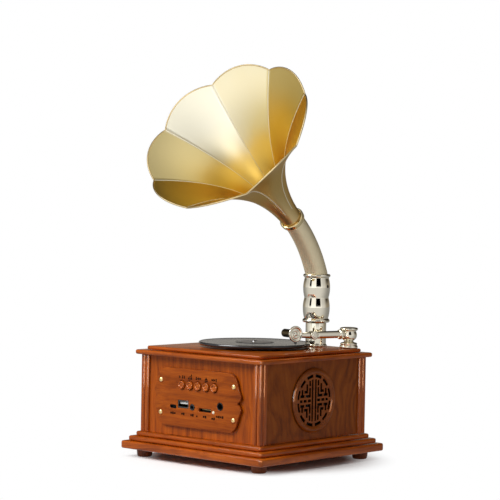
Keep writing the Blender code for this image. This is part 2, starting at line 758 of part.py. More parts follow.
def bell(axis, end):
    """The cup ring, the bell's stem and its petals, on the leaning axis at the elbow's end."""
    x, z, lean = end
    ring_outline = [
        (11.0, 3.0),
        (12.0, 3.0),
        (12.5, 2.4),
        (12.5, -1.6),
        (12.0, -2.6),
        (11.4, -3.0),
        (11.0, -3.0),
    ]
    ring = turned("cup_ring", scaled(ring_outline), "champagne_chrome", 20, closed=True, parent=axis)
    petals_start = STEM_SHARE + GAP / BELL_LENGTH
    stem = add_object("horn_stem", bell_mesh(0.0, STEM_SHARE, 5), "champagne_gold", parent=axis)
    petals = add_object("horn_bell", bell_mesh(petals_start, 1.0, 6), "champagne_gold", parent=axis)
    for obj in (ring, stem, petals):
        obj.location = (x, 0, z)
        obj.rotation_euler = (0, lean, 0)
    for shell in (stem, petals):
        wall = shell.modifiers.new("wall", "SOLIDIFY")
        wall.thickness = BELL_WALL
        wall.offset = -1
        shell.data.shade_smooth()


def horn():
    horn_post()
    axis = axis_empty("horn_axis", (*HORN_AT, 0), HORN_HEADING)
    horn_collar(axis)
    bell(axis, elbow(axis))


# ---------------------------------------------------------------- tone arm


def arm_base():
    outline = [
        (0, 117.0), (2.0, 117.0), (2.0, 110.9), (4.8, 110.9), (5.0, 109.9), (7.8, 109.2), (8.5, 108.2),
        (8.0, 107.0), (8.9, 106.2), (9.0, 105.0), (8.4, 103.6), (0, 103.6),
    ]
    turned("arm_base", scaled(outline), "champagne_chrome", 16, at=(*ARM_AT, 0))


def arm_head(axis):
    outline = [
        (0, 124.6), (8.2, 124.6), (9.0, 123.9), (9.1, 122.5), (8.2, 121.4), (7.2, 120.9), (8.0, 118.6),
        (8.1, 116.2), (7.4, 113.6), (5.6, 111.7), (4.8, 111.2), (2.3, 111.2), (2.3, 117.4), (0, 117.4),
    ]
    head = turned("arm_head", scaled(outline), "champagne_chrome", 16, parent=axis)
    cut(head, rod("arm_socket", ARM_RADIUS + GAP, (5 * MM, 0, ARM_Z), (14 * MM, 0, ARM_Z), 14, axis))


def along_arm(name, outline, finish, steps, axis, at=(0, 0, ARM_Z)):
    """A turned piece whose local +Z runs along the arm."""
    piece = turned(name, outline, finish, steps, parent=axis, at=at)
    piece.rotation_euler = (0, math.pi / 2, 0)
    return piece


def across_arm(name, radius, half, place, axis, sides=16):
    """A cylinder that lies across the arm, centred at place along it."""
    return rod(name, radius, (place, -half, ARM_Z), (place, half, ARM_Z), sides, axis)


def block_on_arm(name, low_x, high_x, half_y, half_z, axis):
    return box(name, (low_x, -half_y, ARM_Z - half_z), (high_x, half_y, ARM_Z + half_z), parent=axis)


def arm_tube(axis):
    """The tube, with the fork and pin of the knuckle at its far end."""
    end = KNUCKLE - KNUCKLE_RADIUS
    outline = [
        (0, end), (ARM_RADIUS, end), (ARM_RADIUS, 12.2 * MM), (4.7 * MM, 11.8 * MM), (4.7 * MM, 9.0 * MM),
        (ARM_RADIUS, 8.7 * MM), (ARM_RADIUS, ARM_START), (0, ARM_START),
    ]
    tube = along_arm("arm_tube", outline, "champagne_chrome", 16, axis)
    cheeks = across_arm("cheeks", KNUCKLE_RADIUS, FORK_HALF, KNUCKLE, axis)
    bridge = block_on_arm("bridge", end - 2 * MM, KNUCKLE, FORK_HALF, 3.0 * MM, axis)
    slot = block_on_arm("fork_slot", end - 0.1 * MM, KNUCKLE + 8 * MM, SLOT_HALF, 8 * MM, axis)
    pin = across_arm("pin", PIN_RADIUS, FORK_HALF - 0.5 * MM, KNUCKLE, axis, 12)
    join(tube, cheeks, bridge)
    cut(tube, slot)
    join(tube, pin)


def arm_neck(axis):
    """The tapered neck that lifts in the fork."""
    shoulder = KNUCKLE + KNUCKLE_RADIUS + 0.5 * MM
    outline = [(0, 64.3 * MM), (2.3 * MM, 64.3 * MM), (3.0 * MM, shoulder), (0, shoulder)]
    neck = along_arm("arm_neck", outline, "champagne_chrome", 18, axis)
    eye = across_arm("eye", 3.9 * MM, TONGUE_HALF, KNUCKLE, axis)
    tongue = block_on_arm("tongue", KNUCKLE, shoulder + 2 * MM, TONGUE_HALF, 2.4 * MM, axis)
    join(neck, eye, tongue)
    cut(neck, across_arm("eye_hole", EYE_HOLE, 5 * MM, KNUCKLE, axis, 12))


def sound_box(axis):
    """The sound box, which lies across the neck's end, and the needle below its disc."""
    outline = [
        (0, 4.7), (5.6, 4.7), (6.0, 5.3), (7.3, 5.5), (8.0, 4.9), (8.0, 3.2), (7.2, 2.6), (4.15, 2.6),
        (4.15, -15.0), (3.6, -15.6), (0, -15.6),
    ]
    place = (SOUND_BOX_AT, 0, SOUND_BOX_Z)
    disc = turned("sound_box", scaled(outline), "champagne_chrome", 20, parent=axis, at=place)
    disc.rotation_euler = (-math.pi / 2, 0, 0)
    tip = (RECORD_TOP + GAP) / MM
    needle = [(0, 111.3), (1.5, 111.3), (1.5, 110.3), (0.45, 109.6), (0.2, tip), (0, tip)]
    turned("needle", scaled(needle), "needle_steel", 12, parent=axis, at=(SOUND_BOX_AT, 4.0 * MM, 0))


def tone_arm():
    arm_base()
    axis = axis_empty("arm_axis", (*ARM_AT, 0), ARM_HEADING)
    arm_head(axis)
    arm_tube(axis)
    arm_neck(axis)
    sound_box(axis)


base_and_steps()
corner_posts()
panels()
top_boards()
feet()
control_plate()
plate_screws()
buttons()
usb_sockets()
card_slot()
jacks_and_lens()
circuit_board()
battery()
side_speakers()
horn_driver()
turntable()
horn()
tone_arm()
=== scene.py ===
"""Looks of the horn loudspeaker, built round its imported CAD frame.

Metres, in the frame of the record: +Z up, +X out of the right grille and -Y out of the control plate.
Outlines, boxes and flat loops are in millimetres. An outline is a list of (radius, height).
"""

import json
from contextlib import contextmanager
from math import asin, cos, degrees, hypot, pi, radians, sin

import bmesh
import bpy
import numpy as np
from mathutils import Matrix, Vector


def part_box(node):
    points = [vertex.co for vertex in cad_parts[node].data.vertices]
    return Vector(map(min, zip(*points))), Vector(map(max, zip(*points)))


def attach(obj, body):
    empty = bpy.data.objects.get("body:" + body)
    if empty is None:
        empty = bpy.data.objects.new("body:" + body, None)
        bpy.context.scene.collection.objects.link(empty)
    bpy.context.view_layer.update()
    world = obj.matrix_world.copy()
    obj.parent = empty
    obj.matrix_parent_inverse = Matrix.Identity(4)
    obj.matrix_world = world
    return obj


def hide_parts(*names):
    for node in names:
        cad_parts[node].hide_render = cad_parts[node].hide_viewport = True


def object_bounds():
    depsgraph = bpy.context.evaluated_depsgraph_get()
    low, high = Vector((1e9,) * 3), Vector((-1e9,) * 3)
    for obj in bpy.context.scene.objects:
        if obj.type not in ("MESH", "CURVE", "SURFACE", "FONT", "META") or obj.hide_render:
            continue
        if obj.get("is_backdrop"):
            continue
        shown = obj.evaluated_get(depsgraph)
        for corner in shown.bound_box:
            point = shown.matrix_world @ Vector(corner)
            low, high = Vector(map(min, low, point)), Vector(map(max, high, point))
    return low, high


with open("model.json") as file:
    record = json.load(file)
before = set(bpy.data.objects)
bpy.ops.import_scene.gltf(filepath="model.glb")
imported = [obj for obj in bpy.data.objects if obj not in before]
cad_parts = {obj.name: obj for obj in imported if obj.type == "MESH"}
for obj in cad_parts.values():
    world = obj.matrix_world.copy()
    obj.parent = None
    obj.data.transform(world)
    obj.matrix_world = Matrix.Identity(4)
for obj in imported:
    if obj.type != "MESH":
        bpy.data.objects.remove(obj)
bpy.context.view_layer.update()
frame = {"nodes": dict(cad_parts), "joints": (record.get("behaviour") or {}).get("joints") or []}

MM = 0.001
UP = Vector((0, 0, 1))
FRONT, RIGHT = Vector((0, -1, 0)), Vector((1, 0, 0))
JOINTS = {joint["name"]: joint for joint in frame["joints"]}


def middle(node):
    low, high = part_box(node)
    return (low + high) / 2


def joint_point(name):
    return Vector(JOINTS[name]["pos_m"])


def compass(heading, elevation):
    """The direction of a compass heading and an elevation in degrees."""
    turn, rise = radians(heading), radians(elevation)
    return Vector((cos(turn) * cos(rise), sin(turn) * cos(rise), sin(rise)))


# ---- shader helpers


class Nodes:
    """A node tree being built. A value is a number, a colour, a vector or another node's output."""

    def __init__(self, tree):
        self.tree = tree

    def fill(self, socket, value):
        if isinstance(value, bpy.types.NodeSocket):
            self.tree.links.new(value, socket)
        elif socket.type == "RGBA":
            socket.default_value = (*value, 1.0)
        else:
            socket.default_value = value

    def node(self, kind, values=(), **settings):
        made = self.tree.nodes.new(f"ShaderNode{kind}")
        for key, value in settings.items():
            setattr(made, key, value)
        for socket, value in dict(values).items():
            self.fill(made.inputs[socket], value)
        return made

    def math(self, operation, *values):
        return self.node("Math", dict(enumerate(values)), operation=operation).outputs[0]

    def plus(self, first, second):
        return self.math("ADD", first, second)

    def less(self, first, second):
        return self.math("SUBTRACT", first, second)

    def times(self, first, second):
        return self.math("MULTIPLY", first, second)

    def vector_math(self, operation, first, second):
        return self.node("VectorMath", {0: first, 1: second}, operation=operation).outputs

    def split(self, vector):
        return self.node("SeparateXYZ", {0: vector}).outputs[:3]

    def ranged(self, value, start, end, low=0.0, high=1.0, step="SMOOTHSTEP"):
        """From low to high as the value goes from start to end."""
        values = {"Value": value, "From Min": start, "From Max": end, "To Min": low, "To Max": high}
        return self.node("MapRange", values, interpolation_type=step).outputs[0]

    def mix(self, factor, first, second):
        """A mix of two colours."""
        return self.node("Mix", {0: factor, 6: first, 7: second}, data_type="RGBA").outputs[2]

    def mix_numbers(self, factor, first, second):
        return self.node("Mix", {0: factor, 2: first, 3: second}).outputs[0]


class Shader(Nodes):
    """A material being built, with plain values set on its main shader itself."""

    def __init__(self, name, **values):
        self.material = bpy.data.materials.new(name)
        self.material.use_nodes = True
        super().__init__(self.material.node_tree)
        self.main = self.tree.nodes["Principled BSDF"]
        for socket, value in values.items():
            self.link(value, socket.replace("_", " "))

    def link(self, value, socket):
        self.fill(self.main.inputs[socket], value)

    def place(self):
        return self.node("TexCoord").outputs["Object"]

    def stretched(self, vector, scale):
        return self.node("Mapping", {"Vector": vector, "Scale": scale}).outputs[0]

    def noise(self, vector, scale, detail=4.0, roughness=0.55, distortion=0.0):
        """Noise at one scale, or at a scale for each axis."""
        if isinstance(scale, tuple):
            vector, scale = self.stretched(vector, scale), 1.0
        values = {"Vector": vector, "Scale": scale, "Detail": detail, "Roughness": roughness}
        return self.node("TexNoise", {**values, "Distortion": distortion}).outputs["Fac"]

    def distance(self, x, y):
        """How far a place is from the upright axis."""
        return self.math("SQRT", self.plus(self.times(x, x), self.times(y, y)))

    def ramp(self, value, *stops):
        made = self.node("ValToRGB", {"Fac": value})
        elements = made.color_ramp.elements
        while len(elements) < len(stops):
            elements.new(0.5)
        for element, (position, colour) in zip(elements, stops):
            element.position = position
            element.color = (*colour, 1.0)
        return made.outputs["Color"]

    def finished(self, colour, gloss=None, bump=None):
        """The material. gloss is a value with its lowest and highest roughness, bump a height with its
        strength and depth."""
        self.link(colour, "Base Color")
        if gloss:
            value, low, high = gloss
            self.link(self.ranged(value, 0.0, 1.0, low, high, "LINEAR"), "Roughness")
        if bump:
            relief = self.node("Bump", dict(zip(("Height", "Strength", "Distance"), bump)))
            self.link(relief.outputs[0], "Normal")
        return self.material


# ---- materials


def grain_axes(made, place, along):
    """The place as (along the grain, across it, up), for grain round the sides or along one axis."""
    x, y, z = made.split(place)
    if along == "sides":
        normal = made.split(made.node("NewGeometry").outputs["Normal"])
        faces_x = made.math("GREATER_THAN", *(made.math("ABSOLUTE", part) for part in normal[:2]))
        axes = (made.mix_numbers(faces_x, x, y), made.mix_numbers(faces_x, y, x), z)
    else:
        axes = {"x": (x, y, z), "y": (y, x, z), "z": (z, x, y)}[along]
    return made.node("CombineXYZ", dict(enumerate(axes))).outputs[0]


def wood(name, dark, mid, light, along="sides", figured=False, rough=(0.3, 0.42), coat=0.5, shade_painted_within=0):
    """Lacquered wood: streaks, fine grain and broad tone, with dark pores.

    Cut walls nearer the middle plane than the given distance along x, in metres, are painted near-black as
    shade inside the slots.
    """
    made = Shader(name, Specular_IOR_Level=0.05, Coat_Weight=coat, Coat_Roughness=0.1, Coat_IOR=1.36)
    here = made.place()
    place = grain_axes(made, here, along)
    bend = made.node("TexNoise", {"Vector": place, "Scale": 9.0, "Detail": 2.0}).outputs["Color"]
    bend = made.node("VectorMath", {0: bend, 3: 0.07 if figured else 0.02}, operation="SCALE").outputs[0]
    place = made.vector_math("ADD", place, bend)[0]
    streaks = made.noise(place, (10, 210, 210), 5.0, 0.6)
    fine = made.noise(place, (40, 900, 900), 3.0, 0.6)
    broad = made.noise(place, (12, 26, 26), 3.0, 0.5, 0.4)
    grain = made.plus(made.times(streaks, 0.5), made.times(fine, 0.25))
    grain = made.plus(grain, made.times(broad, 0.25))
    if figured:
        share = 0.12
        values = {"Scale": 52.0, "Distortion": 4.0, "Detail": 3.0, "Detail Scale": 1.2}
        values["Vector"] = made.stretched(place, (0.7, 1.0, 1.0))
        rings = made.node("TexWave", values, wave_type="RINGS").outputs["Fac"]
        grain = made.plus(made.times(grain, 1 - share), made.times(rings, share))
    colour = made.ramp(grain, (0.33, dark), (0.5, mid), (0.68, light))
    pores = made.ramp(made.noise(place, (70, 1500, 1500), 2.0, 0.5), (0.6, (0, 0, 0)), (0.72, (1, 1, 1)))
    colour = made.mix(made.times(pores, 0.28), colour, dark)
    # Painted shade: surfaces deeper than the given distance, the slot walls and the back, are darkened to
    # near-black where the slots lie in shade.
    if shade_painted_within:
        from_middle = made.math("ABSOLUTE", made.split(here)[0])
        clear = made.ranged(from_middle, shade_painted_within - 0.4 * MM, shade_painted_within, step="LINEAR")
        colour = made.mix(clear, (0.02, 0.005, 0.002), colour)
    return made.finished(colour, (grain, *rough), (made.less(fine, pores), 0.08, 0.0001))


def plated(name, colour, rough, mottle=0.02):
    """Plated or bare metal, with faint unevenness in its gloss and colour."""
    made = Shader(name, Metallic=1.0)
    place = made.place()
    cloud = made.noise(place, 60.0, 3.0)
    wipe = made.noise(place, (500, 500, 90), 4.0, 0.65)
    deeper = tuple(c * (1 - 4 * mottle) for c in colour)
    clouded = made.mix(cloud, deeper, colour)
    return made.finished(clouded, (wipe, rough * 0.8, rough * 1.25), (wipe, 0.02, 0.00002))


def satin_gold(name, faced, colour, slanted, tint, rough, throat=(0, 0, 0)):
    """Satin metallic lacquer: fine flake, and a colour that deepens at a slant, and toward the throat as
    painted shade of the light bounced deep inside the bell.
    """
    made = Shader(name, Metallic=0.97, Specular_Tint=tint)
    place = made.place()
    flake = made.noise(place, 5200.0, 2.0, 0.5)
    patch = made.noise(place, 18.0, 3.0)
    slant = made.node("LayerWeight", {"Blend": 0.5}).outputs["Facing"]
    slant = made.math("MULTIPLY_ADD", patch, 0.06, made.less(slant, 0.03))
    # Painted shade: the colour deepens within 17 cm of the throat, standing in for the darker light bounced
    # deep inside the bell.
    away = made.vector_math("DISTANCE", place, throat)["Value"]
    slant = made.plus(slant, made.ranged(away, 0.035, 0.17, 0.17, 0.0))
    tinted = made.ramp(slant, (0.05, faced), (0.2, colour), (0.54, slanted))
    return made.finished(tinted, (flake, rough * 0.9, rough * 1.12), (flake, 0.06, 0.00002))


def plastic(name, colour, rough, texture=0.1, specular=0.5):
    """Moulded plastic with a fine grain."""
    made = Shader(name, Specular_IOR_Level=specular)
    place = made.place()
    grain = made.noise(place, 2600.0, 3.0)
    scuff = made.noise(place, 90.0, 4.0)
    lighter = tuple(min(1.0, c * 1.25 + 0.004) for c in colour)
    scuffed = made.mix(scuff, colour, lighter)
    return made.finished(scuffed, (scuff, rough * 0.85, rough * 1.2), (grain, texture, 0.00003))


def vinyl(name):
    """Record vinyl: a fine groove over bands of slightly different gloss."""
    made = Shader(name, Specular_IOR_Level=0.5, Coat_Weight=0.3, Coat_Roughness=0.08)
    pitch = 0.0007
    radius = made.distance(*made.split(made.place())[:2])
    wave = made.math("SINE", made.times(radius, 2 * pi / pitch))
    ring = made.node("CombineXYZ", {0: made.times(radius, 900.0)}).outputs[0]
    bands = made.noise(ring, 1.0, 3.0, 0.7)
    colour = made.ramp(bands, (0.3, (0.010, 0.010, 0.011)), (0.7, (0.034, 0.034, 0.037)))
    grooves = made.plus(wave, made.times(bands, 0.8))
    return made.finished(colour, (bands, 0.1, 0.24), (grooves, 0.2, 0.00003))


def woven(name, colour):
    """Plain weave, seen along x."""
    made = Shader(name, Roughness=0.95, Sheen_Weight=0.3)
    pitch = 0.0009
    threads = made.split(made.place())[1:]
    weave = made.times(*(made.math("SINE", made.times(part, 2 * pi / pitch)) for part in threads))
    shade = made.math("MULTIPLY_ADD", weave, 0.5, 0.5)
    tone = made.ramp(shade, (0.2, tuple(c * 0.4 for c in colour)), (0.8, colour))
    return made.finished(tone, bump=(weave, 0.6, 0.0002))


def board_green(name):
    """Solder mask with faint tracks."""
    made = Shader(name, Specular_IOR_Level=0.5)
    place = made.place()
    brick = {"Vector": made.stretched(place, (300, 300, 300)), "Scale": 1.0, "Mortar Size": 0.06}
    tracks = made.node("TexBrick", brick).outputs["Fac"]
    colour = made.mix(tracks, (0.02, 0.13, 0.05), (0.05, 0.24, 0.09))
    return made.finished(colour, (made.noise(place, 200.0), 0.3, 0.5), (tracks, 0.2, 0.00005))


def lens_plastic(name):
    """Milky plastic that glows a little."""
    made = Shader(name, Subsurface_Weight=0.2, Emission_Strength=0.15, Emission_Color=(1.0, 0.86, 0.6))
    haze = made.noise(made.place(), 700.0)
    return made.finished(made.mix(haze, (0.93, 0.84, 0.55), (0.98, 0.91, 0.68)), (haze, 0.15, 0.3))


RED = (0.14, 0.022, 0.001), (0.38, 0.074, 0.002), (0.57, 0.132, 0.006)
DULL_RED = RED[0], (0.32, 0.063, 0.003), (0.46, 0.105, 0.006)
PALE_RED = (0.28, 0.05, 0.004), (0.43, 0.098, 0.008), (0.54, 0.14, 0.014)
BROWN = (0.13, 0.027, 0.003), (0.25, 0.056, 0.004), (0.33, 0.086, 0.008)
DEEP_BROWN = (0.07, 0.018, 0.006), (0.17, 0.042, 0.012), (0.24, 0.07, 0.02)
INSIDE_GOLD = (0.95, 0.90, 0.72), (0.92, 0.76, 0.37), (0.78, 0.58, 0.16)
OUTSIDE_GOLD = (0.92, 0.72, 0.38), (0.86, 0.65, 0.32), (0.74, 0.54, 0.23)
GOLD_SLANT, BRONZE_SLANT = (0.9, 0.68, 0.28), (0.8, 0.66, 0.42)

LACQUER = wood("lacquered_wood", *RED, coat=0.8)
LACQUER_UPRIGHT = wood("lacquered_wood_upright", *RED, along="z")
LACQUER_POST = wood("lacquered_wood_post", *RED, along="z", coat=0.8)
LACQUER_FIGURED = wood("lacquered_wood_figured", *BROWN, along="z", figured=True, coat=0.25)
PLATE = wood("plate_wood", *DULL_RED, along="x", rough=(0.36, 0.48), coat=0.35)
# The grille's slot walls and back carry painted shade.
GRILLE = wood("grille_wood", *BROWN, along="y", shade_painted_within=79.2 * MM)
FOOT = wood("foot_wood", *DEEP_BROWN, along="x", coat=0.4)
BUTTON = wood("button_wood", *PALE_RED, along="x", rough=(0.2, 0.28), coat=0.7)
CHROME = plated("champagne_chrome", (0.92, 0.86, 0.71), 0.05)
SATIN = plated("satin_champagne", (0.96, 0.85, 0.60), 0.56, 0.03)
GOLD_OUTSIDE = satin_gold("champagne_gold_outside", *OUTSIDE_GOLD, BRONZE_SLANT, 0.3)
GOLD_EDGE = plated("champagne_gold_edge", (0.78, 0.62, 0.34), 0.3)
GOLD_SEAM = plated("champagne_gold_seam", (1.0, 0.94, 0.76), 0.5, 0.01)
GOLD_POLISHED = plated("champagne_gold_polished", (0.93, 0.76, 0.42), 0.08)
BRONZE = plated("champagne_chrome_dark", (0.2, 0.15, 0.08), 0.12, 0.03)
BRASS = plated("brass", (0.98, 0.76, 0.36), 0.3)
PLATTER = plated("platter_steel", (0.3, 0.3, 0.3), 0.3, 0.03)
DRIVER = plated("driver_steel", (0.3, 0.3, 0.31), 0.35, 0.05)
NEEDLE = plated("needle_steel", (0.13, 0.125, 0.12), 0.16, 0.05)
STEEL = plated("socket_steel", (0.16, 0.155, 0.15), 0.18, 0.05)
PORT = plated("dark_port_steel", (0.03, 0.028, 0.026), 0.3, 0.05)
BLACK = plastic("black_plastic", (0.012, 0.012, 0.013), 0.4)
# Near-black: the real print on the plate, and also the painted shade of the sheet behind the plate.
INK_AND_PAINTED_SHADE = plastic("plate_print_and_painted_shade", (0.003, 0.002, 0.001), 0.8, 0.02, specular=0.05)
LABEL = plastic("record_label", (0.14, 0.13, 0.12), 0.4, 0.05)
TONGUE = plastic("white_plastic", (0.82, 0.82, 0.8), 0.4, 0.03)
CONE = plastic("paper_cone", (0.05, 0.05, 0.05), 0.9, 0.6)
WRAP = plastic("battery_wrap", (0.08, 0.16, 0.4), 0.35, 0.03)
VINYL = vinyl("record_vinyl")
CLOTH = woven("grille_cloth", (0.008, 0.007, 0.006))
CIRCUIT = board_green("circuit_green")
LENS = lens_plastic("clear_lens")


# ---- shape helpers


def add_object(name, data):
    obj = bpy.data.objects.new(name, data)
    bpy.context.scene.collection.objects.link(obj)
    return obj


def add_piece(name, mesh, material, body="cabinet", slot=None, replaces=(), sharp=40):
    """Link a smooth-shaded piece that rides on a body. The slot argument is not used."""
    obj = add_object(name, mesh)
    mesh.materials.clear()
    mesh.materials.append(material)
    mesh.shade_smooth()
    mesh.set_sharp_from_angle(angle=radians(sharp))
    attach(obj, body)
    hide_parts(*replaces)
    return obj


def show(node, mesh, material, body="cabinet", slot=None, sharp=40):
    """Link the piece that is shown for a CAD node."""
    return add_piece(f"{node}_shown", mesh, material, body, slot, [node], sharp)


@contextmanager
def edited(mesh):
    """The mesh as a bmesh, which is written back at the end."""
    bm = bmesh.new()
    bm.from_mesh(mesh)
    yield bm
    bm.to_mesh(mesh)
    bm.free()


def evaluated(obj):
    """A new mesh from an object after its modifiers."""
    bpy.context.view_layer.update()
    return bpy.data.meshes.new_from_object(obj.evaluated_get(bpy.context.evaluated_depsgraph_get()))


def mesh_from(vertices, faces):
    mesh = bpy.data.meshes.new("shape")
    mesh.from_pydata([tuple(v) for v in vertices], [], faces)
    with edited(mesh) as bm:
        bmesh.ops.remove_doubles(bm, verts=bm.verts, dist=1e-7)
        bmesh.ops.dissolve_degenerate(bm, edges=bm.edges, dist=1e-7)
        bmesh.ops.recalc_face_normals(bm, faces=bm.faces)
    return mesh


def ring_faces(rows, sides, closed=False):
    """Quads between rows of points that each run round a ring."""
    faces = []
    for row in range(rows if closed else rows - 1):
        below, above = row * sides, (row + 1) % rows * sides
        for i in range(sides):
            after = (i + 1) % sides
            faces.append((below + i, below + after, above + after, above + i))
    return faces


def circle(steps):
    turns = np.arange(steps) * 2 * pi / steps
    return np.stack([np.cos(turns), np.sin(turns)], -1)


def arc(centre, radius, start, end, points):
    """Points on an arc, with its angles in degrees."""
    turns = [radians(start + (end - start) * i / (points - 1)) for i in range(points)]
    return [(centre[0] + radius * cos(a), centre[1] + radius * sin(a)) for a in turns]


def softened(outline, reach, closed=False, points=6):
    """The outline with each corner rounded: a small parabola that starts reach before the corner."""
    rounded = []
    count = len(outline)
    for i, corner in enumerate(outline):
        if not closed and i in (0, count - 1):
            rounded.append(corner)
            continue
        here = Vector(corner)
        before, after = Vector(outline[i - 1]) - here, Vector(outline[(i + 1) % count]) - here
        first = here + before.normalized() * min(reach, before.length * 0.48)
        last = here + after.normalized() * min(reach, after.length * 0.48)
        for step in range(points):
            share = step / (points - 1)
            rounded.append(tuple(first.lerp(here, share).lerp(here.lerp(last, share), share)))
    return rounded


def aligned(axis, at):
    """The matrix that takes local +Z at the origin to the axis at a place."""
    return Matrix.Translation(at) @ Vector(axis).to_track_quat("Z", "Y").to_matrix().to_4x4()


def facing(direction, at):
    """The matrix that takes local +Z to a level direction, with local +Y up."""
    across = UP.cross(direction)
    return Matrix.Translation(at) @ Matrix((across, UP, direction)).transposed().to_4x4()


def lathe(outline, at=(0, 0, 0), axis=UP, steps=72, closed=False, reach=0.3):
    """A turned mesh from an outline."""
    outline = softened(outline, reach, closed)
    round_it = circle(steps)
    rings = [np.column_stack([radius * round_it, np.full(steps, height)]) * MM for radius, height in outline]
    mesh = mesh_from(np.concatenate(rings), ring_faces(len(outline), steps, closed))
    mesh.transform(aligned(axis, at))
    return mesh


def rod(radius, start, end, at, axis=UP, steps=32, reach=0):
    """A plain cylinder between two heights along an axis."""
    return lathe([(0, start), (radius, start), (radius, end), (0, end)], at, axis, steps, reach=reach)


def tube(points, radii, sides=16, cyclic=False):
    """A round tube swept along points in metres, with a radius at each."""
    points = np.array(points, float)
    count = len(points)
    radii = np.broadcast_to(np.array(radii, float), count)
    tangents = np.roll(points, -1, 0) - np.roll(points, 1, 0) if cyclic else np.gradient(points, axis=0)
    tangents /= np.linalg.norm(tangents, axis=1)[:, None]
    normal = np.cross(tangents[0], (0.31, 0.17, 0.93))
    rings = []
    for point, tangent, radius in zip(points, tangents, radii):
        normal = normal - tangent * (normal @ tangent)
        normal /= np.linalg.norm(normal)
        rings.append(point + radius * circle(sides) @ [normal, np.cross(tangent, normal)])
    faces = ring_faces(count, sides, cyclic)
    if not cyclic:
        faces += [tuple(range(sides)), tuple(range((count - 1) * sides, count * sides))]
    return mesh_from(np.concatenate(rings), faces)


def joined(meshes):
    """One mesh that holds several."""
    made = bpy.data.meshes.new("joined")
    with edited(made) as bm:
        for mesh in meshes:
            bm.from_mesh(mesh)
    return made


def rounded_box(low, high, rounding, corner=None, segments=4):
    """A box with rounded edges. Its upright edges take the corner radius."""
    low, high = Vector(low), Vector(high)
    mesh = bpy.data.meshes.new("rounded_box")

    def bevel(edges, width, steps):
        bmesh.ops.bevel(bm, geom=edges, offset=width, segments=steps, profile=0.5, affect="EDGES")

    with edited(mesh) as bm:
        place = Matrix.Translation((low + high) / 2) @ Matrix.Diagonal((*(high - low), 1))
        bmesh.ops.create_cube(bm, size=1, matrix=place)
        if corner:
            upright = [e for e in bm.edges if abs((e.verts[0].co - e.verts[1].co).normalized().z) > 0.9]
            bevel(upright, corner, segments + 3)
            caps = [f for f in bm.faces if abs(f.normal.z) > 0.9]
            bevel(list({e for f in caps for e in f.edges}), rounding, segments)
        else:
            bevel(list(bm.edges), rounding, segments)
    mesh.transform(Matrix.Scale(MM, 4))
    return mesh


def flat_curve(loops, thickness, edge, matrix):
    """A flat piece with holes and rounded edges."""
    curve = bpy.data.curves.new("flat", "CURVE")
    curve.dimensions = "2D"
    curve.fill_mode = "BOTH"
    curve.extrude = (thickness / 2 - edge) * MM
    curve.bevel_depth = edge * MM
    curve.bevel_resolution = 2
    curve.offset = -edge * MM
    for loop in loops:
        spline = curve.splines.new("POLY")
        spline.points.add(len(loop) - 1)
        for point, (x, y) in zip(spline.points, loop):
            point.co = (x * MM, y * MM, 0, 1)
        spline.use_cyclic_u = True
    obj = add_object("flat", curve)
    mesh = evaluated(obj)
    bpy.data.objects.remove(obj)
    with edited(mesh) as bm:
        bmesh.ops.remove_doubles(bm, verts=bm.verts, dist=1e-7)
        bmesh.ops.recalc_face_normals(bm, faces=bm.faces)
    mesh.transform(matrix)
    return mesh


def boolean(mesh, other, operation="DIFFERENCE"):
    """The mesh after one exact Boolean with another mesh."""
    first, second = add_object("first", mesh), add_object("second", other)
    modifier = first.modifiers.new("cut", "BOOLEAN")
    modifier.operation = operation
    modifier.solver = "EXACT"
    modifier.object = second
    made = evaluated(first)
    bpy.data.objects.remove(first)
    bpy.data.objects.remove(second)
    return made


def united(mesh, *others):
    for other in others:
        mesh = boolean(mesh, other, "UNION")
    return mesh


def round_loop(centre, radius, points=32):
    return arc(centre, radius, 0, 360 * (points - 1) / points, points)


def box_loop(centre, size, rounding=0):
    half_x, half_y = size[0] / 2 - rounding, size[1] / 2 - rounding
    loop = []
    for sx, sy, start in ((1, 1, 0), (-1, 1, 90), (-1, -1, 180), (1, -1, 270)):
        corner = (centre[0] + sx * half_x, centre[1] + sy * half_y)
        loop += arc(corner, rounding, start, start + 90, 6) if rounding else [corner]
    return loop


# ---- cabinet

SIDES = [f"{depth}_{side}" for depth in ("front", "rear") for side in ("left", "right")]
LOWER_BOARDS = ("base_board", "lower_step_board", "upper_step_board")
TOP_BOARDS = ("lower_top_board", "upper_top_board")


def boards():
    """Boards with softened edges. The two on top let the record's shaft and the horn's post through."""
    passage = middle("horn_post")
    for node in (*LOWER_BOARDS, *TOP_BOARDS):
        low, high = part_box(node)
        mesh = rounded_box(low / MM, high / MM, 1.6, 4.6)
        if node in TOP_BOARDS:
            for x, y, radius in ((0, 0, 3.4), (passage.x, passage.y, 7)):
                mesh = boolean(mesh, rod(radius, 88, 110, (x, y, 0)))
        show(node, mesh, LACQUER)


def corner_posts():
    """Square posts with three reeds round their outer corner."""
    low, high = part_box("front_right_post")
    inner, outer = low.x / MM, high.x / MM
    reed = (outer - inner) / 4
    near, far = inner + reed, inner + 3 * reed
    outline = [
        (inner, inner),
        (inner, far),
        *arc((near, far), reed, 180, 4, 14)[1:],
        *arc((far, far), reed, 176, -86, 22),
        *arc((far, near), reed, 86, -90, 14),
    ]
    half_way_up = Matrix.Translation((0, 0, (low.z + high.z) / 2))
    for index, corner in enumerate(("rear_right", "rear_left", "front_left", "front_right")):
        turn = Matrix.Rotation(radians(90 * index), 4, "Z")
        mesh = flat_curve([outline], (high.z - low.z) / MM, 0.15, turn @ half_way_up)
        show(f"{corner}_post", mesh, LACQUER_POST, slot="lacquered_wood")


